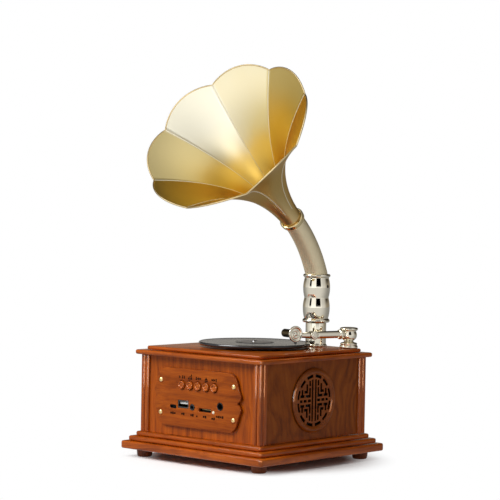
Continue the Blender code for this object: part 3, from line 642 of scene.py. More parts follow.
def feet():
    outline = [(0, 1.2), (7.9, 1.2), (8.05, -2), (7.8, -5), (7.4, -7.2), (6.5, -8.4), (0, -8.4)]
    for side in SIDES:
        place = middle(f"{side}_foot")
        mesh = lathe(outline, (place.x, place.y, 0), steps=48, reach=0.7)
        show(f"{side}_foot", mesh, FOOT)


# ---- control plate

PLATE_LOW, PLATE_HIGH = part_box("control_plate")
PLATE_FACE = PLATE_LOW.y
PLATE_MIDDLE = (PLATE_LOW + PLATE_HIGH) / 2
SOCKET_END = -66.0
BUTTONS = [f"button_{i}" for i in range(1, 6)]
SCREWS = [f"plate_screw_{i}" for i in range(1, 5)]


def on_plate(node):
    """Where a node's middle is on the plate, in millimetres from the plate's middle."""
    place = (middle(node) - PLATE_MIDDLE) / MM
    return (place.x, place.z)


def on_face(node):
    place = middle(node)
    return Vector((place.x, PLATE_FACE, place.z))


def control_plate():
    """The lobed plate with its openings, and behind it a thin near-black sheet with slightly wider openings,
    which paints shade in the gap between the plate and the panel.
    """
    shoulder = arc((41.5, 16.9), 12, 90, 20, 18)
    lobe = arc((52.6, 6.4), 5.6, 50, -60, 18)
    lower = [(x, -y) for x, y in reversed(shoulder + lobe)]
    right = shoulder + lobe + [(53.6, 0)] + lower
    outline = right + [(-x, y) for x, y in reversed(right)]
    holes = [round_loop(on_plate(node), 1.35, 20) for node in SCREWS]
    holes += [round_loop(on_plate(node), 4.75) for node in BUTTONS]
    for node, size, rounding in (
        ("micro_usb_socket", (8.6, 3.7), 0.9),
        ("usb_socket", (14.7, 8), 0.8),
        ("card_slot", (16.4, 3.5), 0.4),
    ):
        holes.append(box_loop(on_plate(node), size, rounding))
    for node, radius in (("aux_jack", 3.3), ("indicator_lens", 1.6), ("mic_jack", 4)):
        holes.append(round_loop(on_plate(node), radius))
    thickness = (PLATE_HIGH.y - PLATE_LOW.y) / MM
    mesh = flat_curve([outline, *holes], thickness, 0.35, facing(FRONT, PLATE_MIDDLE))
    show("control_plate", mesh, PLATE, sharp=50)
    # Painted shade: a near-black sheet in the gap behind the plate, with its openings a little wider, darkens
    # the plate's edges where shade falls.
    behind = Vector((PLATE_MIDDLE.x, (PLATE_HIGH.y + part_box("front_panel")[0].y) / 2, PLATE_MIDDLE.z))
    wider = [[(x * 1.02, y * 1.02) for x, y in loop] for loop in holes]
    mesh = flat_curve([outline, *wider], 0.28, 0, facing(FRONT, behind))
    add_piece("plate_painted_shade_sheet", mesh, INK_AND_PAINTED_SHADE, slot="plate_wood")


def plate_screws():
    """Domed heads with a cross cut in each."""
    head = [(0, 1.5), (1.1, 1.38), (2, 0.95), (2.4, 0.3), (2.35, 0.02), (1.1, 0.02), (1.1, -7.6), (0, -8.3)]
    for number, node in enumerate(SCREWS, 1):
        mesh = lathe(head, on_face(node), FRONT, 36, reach=0.4)
        for quarter in (0, 1):
            slot = rounded_box((-0.2, -0.85, 0.9), (0.2, 0.85, 2), 0.02, segments=1)
            turn = Matrix.Rotation(0.7 * number + pi / 2 * quarter, 4, "Z")
            slot.transform(aligned(FRONT, on_face(node)) @ turn)
            mesh = boolean(mesh, slot)
        show(node, mesh, BRASS, sharp=35)


def buttons():
    outline = [
        (0, 1.05), (1.3, 0.95), (2.2, 0.7), (2.95, 1.75), (3.55, 1.75), (4, 1.1), (4.1, 0.2), (4.1, -3.3),
        (4.9, -3.3), (4.9, -4.3), (1.6, -4.3), (1.6, -12.9), (0, -12.9),
    ]
    for node in BUTTONS:
        mesh = lathe(outline, on_face(node), FRONT, 48, reach=0.5)
        show(node, mesh, BUTTON, f"{node}_body")


def jacks():
    """The two round jacks and the small lens."""
    aux = [
        (0, -14), (1.8, -14), (1.8, 0.2), (2, 0.4), (2.7, 0.4), (2.95, 0.1), (2.95, -3), (3.9, -3),
        (3.9, -18.7), (0, -18.7),
    ]
    mic = [
        (0, -16), (3.15, -16), (3.15, 0.1), (3.3, 0.3), (3.55, 0.3), (3.65, 0.1), (3.65, -3), (5.6, -3),
        (5.6, -18.7), (0, -18.7),
    ]
    lens = [(0, 0.75), (0.8, 0.6), (1.45, 0.1), (1.45, -3.1), (1.6, -3.1), (1.6, -18.7), (0, -18.7)]
    for node, outline, steps, reach, material, slot in (
        ("aux_jack", aux, 40, 0.12, BLACK, "socket_steel"),
        ("mic_jack", mic, 40, 0.1, BLACK, "black_plastic"),
        ("indicator_lens", lens, 32, 0.25, LENS, "clear_lens"),
    ):
        show(node, lathe(outline, on_face(node), FRONT, steps, reach=reach), material, "cabinet", slot)


def usb_port():
    """A folded shell round a pale tongue that carries the contacts."""
    low, high = (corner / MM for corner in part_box("usb_socket"))
    x, z = (low.x + high.x) / 2, (low.z + high.z) / 2
    cavity = rounded_box((low.x + 0.7, low.y - 5, low.z + 1.1), (high.x - 0.7, SOCKET_END, high.z - 1.1), 0.3)
    shell = boolean(rounded_box(low, high, 0.35), cavity)
    show("usb_socket", shell, STEEL, sharp=35)
    tongue = rounded_box((low.x + 1.4, -79.2, z + 0.1), (high.x - 1.4, SOCKET_END - 0.1, z + 2.1), 0.25)
    add_piece("usb_tongue", tongue, TONGUE, slot="socket_steel")
    contacts = []
    for place in (-1.5, -0.5, 0.5, 1.5):
        at = x + place * 2.4
        contacts.append(rounded_box((at - 0.5, -78.9, z - 0.05), (at + 0.5, -67, z + 0.09), 0.03, segments=1))
    add_piece("usb_contacts", joined(contacts), BRASS)


def card_teeth():
    """The row of contacts seen in the card slot."""
    low, high = (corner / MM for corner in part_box("card_slot"))
    z = (low.z + high.z) / 2
    teeth = []
    for x in np.linspace(low.x + 2.6, high.x - 2.6, 8):
        teeth.append(rounded_box((x - 0.35, -77.6, z + 0.1), (x + 0.35, SOCKET_END, z + 0.78), 0.08))
    add_piece("card_slot_contacts", joined(teeth), BRASS)


def prints():
    """Plain marks over the buttons and under the sockets: bars, arrows and dots, with no lettering."""
    depth = 0.04
    at = Vector((PLATE_MIDDLE.x, PLATE_FACE - depth / 2 * MM, PLATE_MIDDLE.z))
    marks = []

    def mark(node, x, y, loop):
        start_x, start_y = on_plate(node)
        moved = [(start_x + x + u, start_y + y + v) for u, v in loop]
        marks.append(flat_curve([moved], depth, 0, facing(FRONT, at)))

    def bar(x, y, width, height):
        return box_loop((x, y), (width, height))

    def arrow(x, way):
        half, tall = 1.3, 1.5
        return [(x - way * half, -tall), (x + way * half, 0), (x - way * half, tall)]

    over_buttons = (
        (arrow(-2.6, 1), bar(0.8, 0, 1.3, 3.2), bar(3.2, 0, 1.3, 3.2)),
        (bar(-2, -0.8, 1.3, 1.8), bar(0, 0, 1.3, 3.4), bar(2, 0.8, 1.3, 5)),
        (bar(2.9, 0, 2.4, 1.5), arrow(-0.1, -1), bar(-2.4, 0, 1.3, 3.2)),
        (bar(0, -1.6, 3.8, 1.1), [(-2, -0.6), (2, -0.6), (0, 1.9)]),
        (bar(-2.9, 0, 2.4, 1.5), arrow(0.1, 1), bar(2.4, 0, 1.3, 3.2)),
    )
    for node, loops in zip(BUTTONS, over_buttons):
        for loop in loops:
            mark(node, 0, 7.6, loop)
    for node, drop, count in (
        ("micro_usb_socket", 6.4, 3), ("usb_socket", 9.4, 2), ("aux_jack", 7.6, 2), ("card_slot", 6.2, 2),
        ("indicator_lens", 6, 2), ("mic_jack", 10, 4),
    ):
        for k in range(count):
            mark(node, (k - (count - 1) / 2) * 2.5, -drop, bar(0, 0, 2, 2.6 if k % 2 else 1.8))
    mark("aux_jack", 5.4, -8.8, [(0, 0), (2.6, 0), (1.3, 2.4)])
    add_piece("plate_prints", joined(marks), INK_AND_PAINTED_SHADE, slot="black_plastic")


# ---- grilles


def lattice_slots():
    """Slots of the fretwork: broken arcs, a centre pair, a row of dashes and stepped keys."""
    slots = []
    for i in range(12):
        turn = 90 + 360 * (i + 0.5) / 12
        slots.append(arc((0, 0), 25.6, turn - 11, turn + 11, 9) + arc((0, 0), 22.6, turn + 11, turn - 11, 9))
    keys = (
        [(5, 3.2), (12.9, 3.2), (12.9, 5.9), (7.7, 5.9), (7.7, 12.6), (5, 12.6)],
        [
            (14.5, 3.4), (20.9, 3.4), (20.9, 6.1), (19.2, 6.1), (19.2, 11.2), (16.5, 11.2),
            (16.5, 6.1), (14.5, 6.1),
        ],
        [(9.3, 7.5), (15, 7.5), (15, 10.2), (12, 10.2), (12, 16.4), (9.3, 16.4)],
        box_loop((6.35, 17), (2.7, 5.4)),
    )
    for side in (-1, 1):
        for x, size in ((2.45, (2.5, 41)), (7.1, (4.8, 2.8)), (13.5, (4.8, 2.8)), (19.4, (3.8, 2.6))):
            slots.append(box_loop((side * x, 0), size))
        for up in (-1, 1):
            slots += [[(side * x, up * y) for x, y in key] for key in keys]
    return slots


def stretched_disc(radius, crown, rings=12, sides=64):
    """A disc of cloth that is a little fuller in its middle."""
    vertices = [(0, 0, crown)]
    for share in np.arange(1, rings + 1) / rings:
        vertices += [(*(radius * share * point), crown * (1 - share**2)) for point in circle(sides)]
    faces = [(0, 1 + i, 1 + (i + 1) % sides) for i in range(sides)]
    faces += [tuple(1 + corner for corner in face) for face in ring_faces(rings, sides)]
    return mesh_from(vertices, faces)


def grilles():
    """A fretted disc in a turned ring on each side, with speaker cloth behind it."""
    ring = [
        (0, 79.6), (25.9, 79.6), (26.3, 80.4), (27.2, 81.2), (28.6, 81.6), (30.2, 81.2), (31.4, 80.2),
        (32, 78.9), (32, 78.05), (27.7, 78.05), (27.7, 76), (0, 76),
    ]
    for side, direction in (("right", RIGHT), ("left", -RIGHT)):
        node = f"{side}_grille"
        at = Vector((0, 0, middle(node).z))
        disc = lathe(ring, at, direction, 96, reach=0.5)
        slots = flat_curve(lattice_slots(), 20, 0, facing(direction, at + direction * 78 * MM))
        obj = show(node, boolean(disc, slots), GRILLE, sharp=35)
        edges = obj.modifiers.new("worn_edges", "BEVEL")
        edges.width = 0.22 * MM
        edges.segments = 2
        edges.limit_method = "ANGLE"
        edges.angle_limit = radians(60)
        edges.harden_normals = True
        cloth = f"{side}_grille_cloth"
        low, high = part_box(cloth)
        radius = (high.z - low.z) / 2
        outer = max(abs(low.x), abs(high.x))
        mesh = stretched_disc(radius, 0.35 * MM)
        mesh.transform(facing(direction, at + direction * (outer - 0.4 * MM)))
        shown = show(cloth, mesh, CLOTH)


# ---- turntable


def turntable():
    """The record with its label, on a platter and shaft."""
    axis = joint_point("record_spin")
    at = (axis.x, axis.y, 0)
    groove_outer, label = 54.6, 20.0
    outline = [
        (3.3, 108.75), (label - 0.6, 108.75), (label, 108.45), (groove_outer, 108.45), (55, 108.8),
        (55.8, 108.7), (56.5, 107.6), (56.5, 106.6), (55.6, 105.4), (3.3, 105.4),
    ]
    record = lathe(outline, at, steps=160, closed=True, reach=0.5)
    show("record", record, VINYL, "turntable")
    ring = [(3.4, 108.76), (label - 0.9, 108.76), (label - 0.9, 108.82), (label - 1.1, 108.86), (3.4, 108.86)]
    paper = lathe(ring, at, steps=96, closed=True, reach=0.02)
    add_piece("record_label", paper, LABEL, "turntable", "record_vinyl")
    shaft = [
        (0, 110.2), (1.6, 110.15), (2.5, 109.8), (3, 109), (3, 105.1), (27.6, 105.1), (28, 104.8),
        (28, 104.1), (27.6, 103.9), (3, 103.9), (3, 91), (0, 91),
    ]
    show("platter", lathe(shaft, at, reach=0.2), PLATTER, "turntable")


# ---- horn

HORN = joint_point("horn_swivel")
HEADING = radians(-85)
LEAN = radians(54)
TIGHT_RADIUS, WIDE_RADIUS, FIRST_LEAN = 15, 133, radians(23.5)
BEND_START = 172.3
NECK, TAPER, MOUTH, LENGTH, FLARE = 10.6, 2.7, 84.6, 131.8, 2.27
PETALS = 8
OUTWARD, FORWARD = 2.8, 7.0
FIRST_SEAM = radians(173)
BELL_ROWS, PETAL_SIDES, BELL_WALL = 56, 20, 0.9
BELL_START = 0.3
HORN_FRAME = Matrix.Translation((HORN.x, HORN.y, 0)) @ Matrix.Rotation(HEADING, 4, "Z")


def elbow_centre(fine=14):
    """Centre line of the elbow in the horn's own plane, in millimetres, with the lean at each point."""
    points = [(0, 170, 0), (0, 171.2, 0), (0, BEND_START, 0)]
    x, z, lean = 0, BEND_START, 0.0
    for radius, target in ((TIGHT_RADIUS, FIRST_LEAN), (WIDE_RADIUS, LEAN)):
        first, start_x, start_z = lean, x, z
        for i in range(1, fine + 1):
            lean = first + (target - first) * i / fine
            x = start_x + radius * (cos(first) - cos(lean))
            z = start_z + radius * (sin(lean) - sin(first))
            points.append((x, z, lean))
    return points


def bead(ends, swell, top, bottom, points):
    """A convex arc down a turned profile, from radius ends at the top to ends again at the bottom."""
    rise, half = swell - ends, (top - bottom) / 2
    radius = (rise**2 + half**2) / (2 * rise)
    reach = degrees(asin(half / radius))
    return arc((swell - radius, (top + bottom) / 2), radius, reach, -reach, points)


def horn_support():
    """The post on the cabinet, and the beaded collar that turns on it with its grub screw."""
    at = (HORN.x, HORN.y, 0)
    post = [
        (8.6, 149.5), (8.6, 127.4), (10.6, 127.4), (10.6, 106.6), (10.75, 105.4), (11.6, 104.8),
        (11.6, 103.6), (6.6, 103.6), (6.6, 95), (5, 95), (5, 104), (7.2, 107), (7.2, 149.5),
    ]
    mesh = lathe(post, at, steps=96, closed=True, reach=0.4)
    show("horn_post", mesh, CHROME)
    collar = [
        (12.2, 177.3), *bead(13.1, 14, 177.2, 174.3, 7), (12.4, 173.6), *bead(12.5, 13.8, 172.6, 153.6, 18),
        *bead(12.5, 13.8, 152.6, 132.6, 18), (12.3, 131.9), *bead(13.1, 14, 131.3, 127.9, 7),
        (12.6, 127.75), (8.9, 127.75), (8.9, 160), (10.3, 160), (10.3, 170), (11.6, 173.6),
    ]
    hole = middle("grub_screw")
    outwards = Vector((hole.x - HORN.x, hole.y - HORN.y, 0)).normalized()
    axis_at = (HORN.x, HORN.y, hole.z)
    mesh = boolean(lathe(collar, at, steps=96, closed=True, reach=0.25), rod(1.75, 9, 18, axis_at, outwards))
    show("horn_collar", mesh, CHROME, "horn")
    screw = [(0, 12.2), (0.55, 12.2), (0.6, 13.2), (1.1, 13.3), (1.5, 12.9), (1.5, 9.5), (1.1, 9.2), (0, 9.2)]
    mesh = lathe(screw, axis_at, outwards, 32, reach=0.15)
    show("grub_screw", mesh, NEEDLE, "horn")


def horn_elbow():
    """The curved pipe, open at both ends. Returns the last point of its centre line, with the lean."""
    line = elbow_centre()
    points = np.array([(x, 0, z) for x, z, _ in line]) * MM
    lengths = np.insert(np.cumsum(np.linalg.norm(np.diff(points, axis=0), axis=1)), 0, 0)
    foot, cup = 11.35, 10.45
    outer = (foot + (cup - foot) * lengths / lengths[-1]) * MM
    outer[0], outer[1] = 8.9 * MM, 11.2 * MM
    mesh = tube(points, outer, 64)
    with edited(mesh) as bm:
        bmesh.ops.delete(bm, geom=[f for f in bm.faces if len(f.verts) > 4], context="FACES_ONLY")
    mesh.transform(HORN_FRAME)
    obj = show("horn_elbow", mesh, SATIN, "horn")
    wall = obj.modifiers.new("wall", "SOLIDIFY")
    wall.thickness = 1.2 * MM
    wall.offset = -1
    return line[-1]


def bell_grid():
    """Points of the bell's outer surface round local +Z, in millimetres: rows from the neck to the mouth."""
    columns = np.arange(PETALS * PETAL_SIDES)
    share = (np.arange(BELL_ROWS + 1)[:, None] / BELL_ROWS) ** 0.85
    across = 2 * (columns % PETAL_SIDES) / PETAL_SIDES - 1
    turn = FIRST_SEAM + 2 * pi * columns / len(columns)
    bulge = (1 - across**2) * share**1.5
    reach = NECK + TAPER * share + (MOUTH - NECK - TAPER) * share**FLARE + OUTWARD * bulge
    height = BELL_START + (LENGTH - BELL_START) * share + FORWARD * bulge
    return np.stack([reach * np.cos(turn), reach * np.sin(turn), height], -1)


def bell_mesh(outer, inner):
    """The bell's mesh, and for each face whether it is inside (1) or outside (0)."""
    columns = outer.shape[1]
    count = outer.shape[0] * columns
    surface = ring_faces(BELL_ROWS + 1, columns)
    sides = [(face, 0) for face in surface]
    sides += [(tuple(corner + count for corner in reversed(face)), 1) for face in surface]
    for row in (0, BELL_ROWS):
        for i in range(columns):
            a, b = row * columns + i, row * columns + (i + 1) % columns
            sides.append(((a, b, b + count, a + count) if row else (b, a, a + count, b + count), 0))
    mesh = bpy.data.meshes.new("bell")
    vertices = np.concatenate([outer.reshape(-1, 3), inner.reshape(-1, 3)]) * MM
    mesh.from_pydata(vertices.tolist(), [], [face for face, _ in sides])
    return mesh, [side for _, side in sides]


def horn_bell(end):
    """The bell with its rim and seams, and the ring it is cupped in."""
    x, z, lean = end
    bell_frame = HORN_FRAME @ Matrix.Translation((x * MM, 0, z * MM)) @ Matrix.Rotation(lean, 4, "Y")

    def add(name, mesh, material, slot="champagne_gold", **settings):
        mesh.transform(bell_frame)
        add_piece(name, mesh, material, "horn", slot, **settings)

    grid = bell_grid()
    along, around = np.gradient(grid, axis=0), np.roll(grid, -1, 1) - np.roll(grid, 1, 1)
    normals = np.cross(around, along)
    normals /= np.linalg.norm(normals, axis=2)[:, :, None]
    mesh, sides = bell_mesh(grid, grid - normals * BELL_WALL)
    add("horn_bell_shown", mesh, GOLD_OUTSIDE, replaces=["horn_bell", "horn_stem"], sharp=60)
    # The inside's gold carries painted shade toward this throat point.
    throat = tuple(bell_frame.translation)
    mesh.materials.append(satin_gold("champagne_gold", *INSIDE_GOLD, GOLD_SLANT, 0.32, throat))
    mesh.polygons.foreach_set("material_index", sides)
    for polygon in mesh.polygons:
        polygon.use_smooth = True
    middle_line = (grid - normals * BELL_WALL / 2) * MM
    add("horn_rim", tube(middle_line[-1], 0.8 * MM, 12, cyclic=True), GOLD_EDGE)
    ribs = []
    for column in range(0, PETALS * PETAL_SIDES, PETAL_SIDES):
        line = middle_line[6:, column]
        ribs.append(tube(line, np.linspace(0.62, 0.85, len(line)) * MM, 10))
    add("horn_seams", joined(ribs), GOLD_SEAM)
    ring = [
        (11, 3.2), (12, 3.2), (12.7, 2.6), (12.9, 1.6), (12.7, 0.2), (12.5, -1.8), (12.1, -2.8),
        (11.4, -3.2), (11, -3.2),
    ]
    ring = lathe(ring, steps=80, closed=True, reach=0.5)
    add("cup_ring_shown", ring, GOLD_POLISHED, "champagne_chrome", replaces=["cup_ring"])


# ---- tone arm

ARM = joint_point("arm_swing")
KNUCKLE = joint_point("pickup_lift")
ALONG = Vector((KNUCKLE.x - ARM.x, KNUCKLE.y - ARM.y, 0)).normalized()
ACROSS = UP.cross(ALONG)
REACH = hypot(KNUCKLE.x - ARM.x, KNUCKLE.y - ARM.y) / MM
ARM_FRAME = Matrix.Translation((ARM.x, ARM.y, KNUCKLE.z)) @ Matrix((ALONG, ACROSS, UP)).transposed().to_4x4()


def on_arm(along, across=0, height=KNUCKLE.z):
    """A place along the arm, in millimetres from its pivot, at a height in metres."""
    at = Vector((ARM.x, ARM.y, 0)) + ALONG * along * MM + ACROSS * across * MM
    at.z = height
    return at


def box_on_arm(low, high, rounding, segments=4):
    """A rounded box in the arm's own axes: along it, across it and up."""
    mesh = rounded_box(low, high, rounding, segments=segments)
    mesh.transform(ARM_FRAME)
    return mesh


def arm_pillar():
    """The fixed base and the head that turns on it."""
    at = (ARM.x, ARM.y, 0)
    base = [
        (0, 117), (2, 117), (2, 110.9), (4.6, 110.9), (4.9, 110.2), (5.8, 109.6), (7.6, 109.2),
        (8.6, 108.5), (8.7, 107.7), (8.1, 107), (8.9, 106.2), (9.3, 105.2), (9.2, 104.2), (8.6, 103.6),
        (0, 103.6),
    ]
    show("arm_base", lathe(base, at, steps=80, reach=0.45), CHROME)
    head = [
        (0, 124.9), (6, 124.8), (8.4, 124.4), (9.2, 123.6), (9.2, 122.6), (8.5, 121.8), (7.3, 121.1),
        (7.3, 120.4), (7.9, 119), (8.2, 117.2), (8.1, 115.6), (7.5, 113.9), (6.5, 112.6), (5.6, 111.7),
        (4.9, 111.2), (2.3, 111.2), (2.3, 117.4), (0, 117.4),
    ]
    mesh = boolean(lathe(head, at, steps=80, reach=0.6), rod(4, 5, 14, on_arm(0), ALONG, 48))
    show("arm_head", mesh, CHROME, "tone_arm")


def arm_tube():
    """The tube with its ring, ending in a forked knuckle with a pin."""
    end = REACH - 4.3
    outline = [
        (0, end + 0.5), (2.6, end + 0.5), (3.4, end - 0.6), (3.7, end - 2), (3.7, 13.2), (4, 12.8),
        (4.9, 12.3), (5.1, 11), (4.9, 9.4), (4, 8.8), (3.7, 8.5), (3.7, 5.4), (0, 5.4),
    ]
    body = lathe(outline, on_arm(0), ALONG, 56, reach=0.5)
    half_cheek = [(0, 4.3), (2.4, 4.3), (2.6, 3.9), (3.7, 3.8), (4.3, 3.3)]
    cheek = half_cheek + [(radius, -height) for radius, height in reversed(half_cheek)]
    cheeks = lathe(cheek, on_arm(REACH), ACROSS, 56, reach=0.3)
    bridge = box_on_arm((end - 2.2, -3.2, -2.6), (REACH, 3.2, 2.6), 0.6)
    slot = box_on_arm((end - 0.1, -1.75, -9), (REACH + 9, 1.75, 9), 0.05, segments=1)
    forked = boolean(united(body, cheeks, bridge), slot)
    solid = united(forked, rod(1.3, 3.6, -3.6, on_arm(REACH), ACROSS))
    show("arm_tube", solid, CHROME, "tone_arm", sharp=30)


def arm_pickup():
    """The thin front tube on its eye, the sound box with its cylinder, and the needle."""
    shoulder = REACH + 4.8
    outline = [
        (0, 64.6), (2.3, 64.6), (2.45, 60), (2.75, 55), (3.05, 51.2), (3.1, 50), (2.7, shoulder),
        (0, shoulder),
    ]
    neck = lathe(outline, on_arm(0), ALONG, 48, reach=0.6)
    eye = rod(3.9, 1.35, -1.35, on_arm(REACH), ACROSS, 48, reach=0.2)
    tongue = box_on_arm((REACH, -1.35, -2.4), (shoulder + 2, 1.35, 2.4), 0.2)
    solid = boolean(united(neck, eye, tongue), rod(1.6, 5, -5, on_arm(REACH), ACROSS))
    show("arm_neck", solid, CHROME, "pickup", sharp=30)
    disc = [
        (0, 5), (1.2, 4.9), (2, 4.5), (2.6, 4.4), (3.2, 4.8), (3.9, 4.9), (4.6, 4.5), (5.4, 4.4),
        (6, 5), (6.8, 5.5), (7.5, 5.4), (8, 4.8), (8, 3.4), (7.4, 2.6), (4.6, 2.6), (4.15, 2),
        (4.15, -14.6), (3.5, -15.6), (0, -15.6),
    ]
    box_along, face_back = 69, 2.2
    centre = on_arm(box_along, 0, middle("sound_box").z)
    mesh = lathe(disc, centre, ACROSS, reach=0.35)
    show("sound_box", mesh, CHROME, "pickup")
    mesh.materials.append(BRONZE)
    for polygon in mesh.polygons:
        if (polygon.center - centre).dot(ACROSS) < face_back * MM:
            polygon.material_index = 1
    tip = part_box("needle")[0].z / MM
    clamp = [
        (0, 111.9), (1.2, 111.8), (1.6, 111.2), (1.6, 110.4), (0.9, 110), (0.45, 109.7), (0.16, tip),
        (0, tip),
    ]
    mesh = lathe(clamp, on_arm(box_along, 4, 0), UP, 32, reach=0.15)
    show("needle", mesh, NEEDLE, "pickup")


# ---- CAD nodes shown as they are


def carried_over():
    """CAD nodes whose shape needs nothing more than a better material."""
    for material, nodes in (
        (LACQUER_UPRIGHT, ["front_panel"]),
        (LACQUER_FIGURED, ["rear_panel", "left_panel", "right_panel"]),
        (PORT, ["micro_usb_socket", "card_slot"]),
        (CIRCUIT, ["circuit_board"]),
        (WRAP, ["battery_pack"]),
        (DRIVER, ["left_driver_frame", "right_driver_frame", "horn_driver"]),
        (CONE, ["left_driver_cone", "right_driver_cone"]),
        (BLACK, ["throat_duct"]),
    ):
        for node in nodes:
            data = frame["nodes"][node].data
            data.materials.clear()
            data.materials.append(material)


# ---- studio

# Each dark flag: compass heading, half width and soft edge in degrees, and the sine of its top's elevation.
FLAGS = ((-33, 18, 6, 0.62), (-104, 7, 4, 0.7))
BRIGHT_SIDE = (-62, 6)
WARM_SIDE = (1, 0.88, 0.7)
DIFFUSE_SKY = 0.22


def studio_world():
    """Soft grey daylight, brighter in reflections, with dark flags beside the camera."""
    world = bpy.data.worlds.new("studio")
    bpy.context.scene.world = world
    world.use_nodes = True
    world.node_tree.nodes.clear()
    made = Nodes(world.node_tree)
    direction = made.node("TexCoord").outputs["Generated"]
    x, y, z = made.split(direction)
    to_key = made.vector_math("DOT_PRODUCT", direction, compass(*BRIGHT_SIDE))["Value"]

    glossy = made.plus(made.ranged(to_key, -0.6, 0.3, 0.30, 0.6), made.ranged(to_key, 0.3, 0.9, 0, 0.5))
    glossy = made.times(glossy, made.ranged(z, 0.91, 0.985, 1, 0.12))
    glossy = made.times(glossy, made.ranged(z, 0, 0.22, 1.2, 1))
    behind = made.times(made.ranged(to_key, -0.5, 0.08, 1, 0), made.ranged(z, 0.03, 0.25, 0.25, 0.88))
    glossy = made.times(glossy, made.less(1, behind))
    angle = made.math("ARCTAN2", y, x)
    for heading, half_width, soft, top in FLAGS:
        away = made.math("ABSOLUTE", made.less(angle, radians(heading)))
        band = made.ranged(away, radians(half_width), radians(half_width + soft), 1, 0)
        band = made.times(band, made.ranged(z, top, top + 0.12, 1, 0))
        band = made.times(band, made.ranged(z, -0.02, 0.1))
        glossy = made.times(glossy, made.less(1, band))

    path = made.node("LightPath").outputs
    strength = made.mix_numbers(path["Is Glossy Ray"], DIFFUSE_SKY, glossy)
    strength = made.mix_numbers(path["Is Camera Ray"], strength, 1)
    warmth = made.times(made.ranged(to_key, -0.6, 0.2, 1, 0), path["Is Glossy Ray"])
    tint = made.mix(warmth, (1, 1, 1), WARM_SIDE)
    background = made.node("Background", {"Color": tint, "Strength": strength})
    made.node("OutputWorld", {0: background.outputs[0]})


def softbox(name, heading, elevation, distance, size, power, aim=(0, -0.01, 0.16)):
    """An area light seen from the object at a compass heading and an elevation, in degrees."""
    light = bpy.data.lights.new(name, "AREA")
    light.shape = "RECTANGLE"
    light.size, light.size_y = size
    light.energy = power
    obj = add_object(name, light)
    way = compass(heading, elevation)
    obj.location = Vector(aim) + way * distance
    obj.rotation_euler = way.to_track_quat("Z", "Y").to_euler()
    obj.visible_glossy = False
    return obj


def link_to(light, pieces):
    """Make a light's list of receivers from some pieces."""
    receivers = bpy.data.collections.new(f"{light.name}_receivers")
    for piece in pieces:
        receivers.objects.link(bpy.data.objects[piece])
    light.light_linking.receiver_collection = receivers
    return receivers


def card(name, pieces, heading, elevation, size, power, aim, distance=1.6, mirrored_only=False):
    """A softbox for a few pieces only, which see it in their reflections too."""
    obj = softbox(name, heading, elevation, distance, size, power, aim)
    obj.visible_glossy = True
    obj.visible_camera = False
    obj.visible_diffuse = not mirrored_only
    link_to(obj, pieces)
    return obj


def keep_off(light, pieces):
    """Let a light shine on everything but a few pieces."""
    for entry in link_to(light, pieces).collection_objects:
        entry.light_linking.link_state = "EXCLUDE"


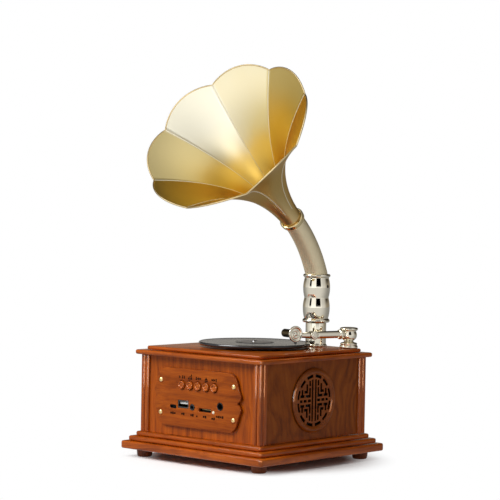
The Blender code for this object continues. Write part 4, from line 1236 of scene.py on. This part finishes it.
def floor():
    """A pale floor that is a plain surface near the object and glows like the sky farther out."""
    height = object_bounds()[0].z
    mesh = bpy.data.meshes.new("floor")
    corners = [(x, y, height) for x, y in box_loop((0, 0), (12, 12))]
    mesh.from_pydata(corners, [], [(0, 1, 2, 3)])
    obj = add_object("floor", mesh)
    made = Shader("pale_floor", Roughness=0.7, Specular_IOR_Level=0.1)
    place = made.place()
    made.link(made.mix(made.noise(place, 900), (0.9, 0.9, 0.9), (0.94, 0.94, 0.94)), "Base Color")
    x, y, _ = made.split(place)
    away = made.distance(x, y)
    bright = compass(BRIGHT_SIDE[0], 0)
    side = made.math("DIVIDE", made.plus(made.times(x, bright.x), made.times(y, bright.y)), away)
    path = made.node("LightPath").outputs
    strength = made.mix_numbers(path["Is Glossy Ray"], 0.5, made.ranged(side, -0.7, 0.8, 0.27, 0.72))
    strength = made.math("MAXIMUM", strength, path["Is Camera Ray"])
    glow = made.node("Emission", {"Strength": strength}).outputs[0]
    blend = made.node("MixShader", {0: made.ranged(away, 0.09, 0.148), 1: made.main.outputs[0], 2: glow})
    made.fill(made.tree.nodes["Material Output"].inputs[0], blend.outputs[0])
    mesh.materials.append(made.material)
    obj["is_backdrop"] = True


def camera():
    """The photograph's view: a long lens at azimuth 41.84 degrees, looking 1.37 degrees down."""
    data = bpy.data.cameras.new("camera")
    data.lens, data.sensor_width = 133.37, 36.0
    obj = add_object("camera", data)
    turn = Matrix.Identity(4)
    for angle, axis in ((41.84, "Z"), (90.0 - 1.37, "X"), (1.04, "Z")):
        turn = turn @ Matrix.Rotation(radians(angle), 4, axis)
    obj.matrix_world = Matrix.Translation((1.2411, -1.3956, 0.2459)) @ turn
    bpy.context.scene.camera = obj


def lights():
    key = softbox("key", -118, 42, 1.7, (1, 1), 32)
    key.visible_glossy = True
    softbox("top", -60, 78, 1.6, (1.2, 1.2), 10)
    softbox("right", 10, 35, 1.8, (0.6, 1), 1)
    bell = ("horn_bell_shown", "horn_seams", "horn_rim")
    keep_off(key, bell)
    bell_middle, wood_middle = (0.03, -0.05, 0.30), (0, 0, 0.06)
    card("horn_key", bell, -118, 42, (1, 1), 7, bell_middle, 1.7)
    card("horn_top", bell, 28, 56, (0.9, 0.9), 1, bell_middle)
    card("horn_front", bell, -47, 15, (0.9, 0.9), 2.3, bell_middle)
    card("horn_low", bell, -27, 0, (0.7, 0.8), 1.4, bell_middle)
    card("horn_left", bell, -102, -4, (0.8, 0.6), 0.75, bell_middle)
    wooden = [f"{side}_post" for side in SIDES] + [*LOWER_BOARDS, TOP_BOARDS[0], *BUTTONS]
    glinting = [f"{node}_shown" for node in (*wooden, "control_plate", "right_grille")]
    card("wood_strip", glinting, -74, 12, (0.42, 1), 22, wood_middle, mirrored_only=True)
    glow = card("corner_glow", glinting, -42, 12, (1.1, 1.2), 75, wood_middle, mirrored_only=True)
    glow.data.color = (1, 0.5, 0.24)
    card("record_back", ("record_shown", "record_label"), 131, 4, (1.6, 0.5), 0.45, (0, 0, 0.11))


boards()
corner_posts()
feet()
control_plate()
plate_screws()
buttons()
jacks()
usb_port()
card_teeth()
prints()
grilles()
turntable()
horn_support()
horn_bell(horn_elbow())
arm_pillar()
arm_tube()
arm_pickup()
carried_over()
studio_world()
floor()
camera()
lights()
bpy.context.scene.view_settings.view_transform = "Standard"
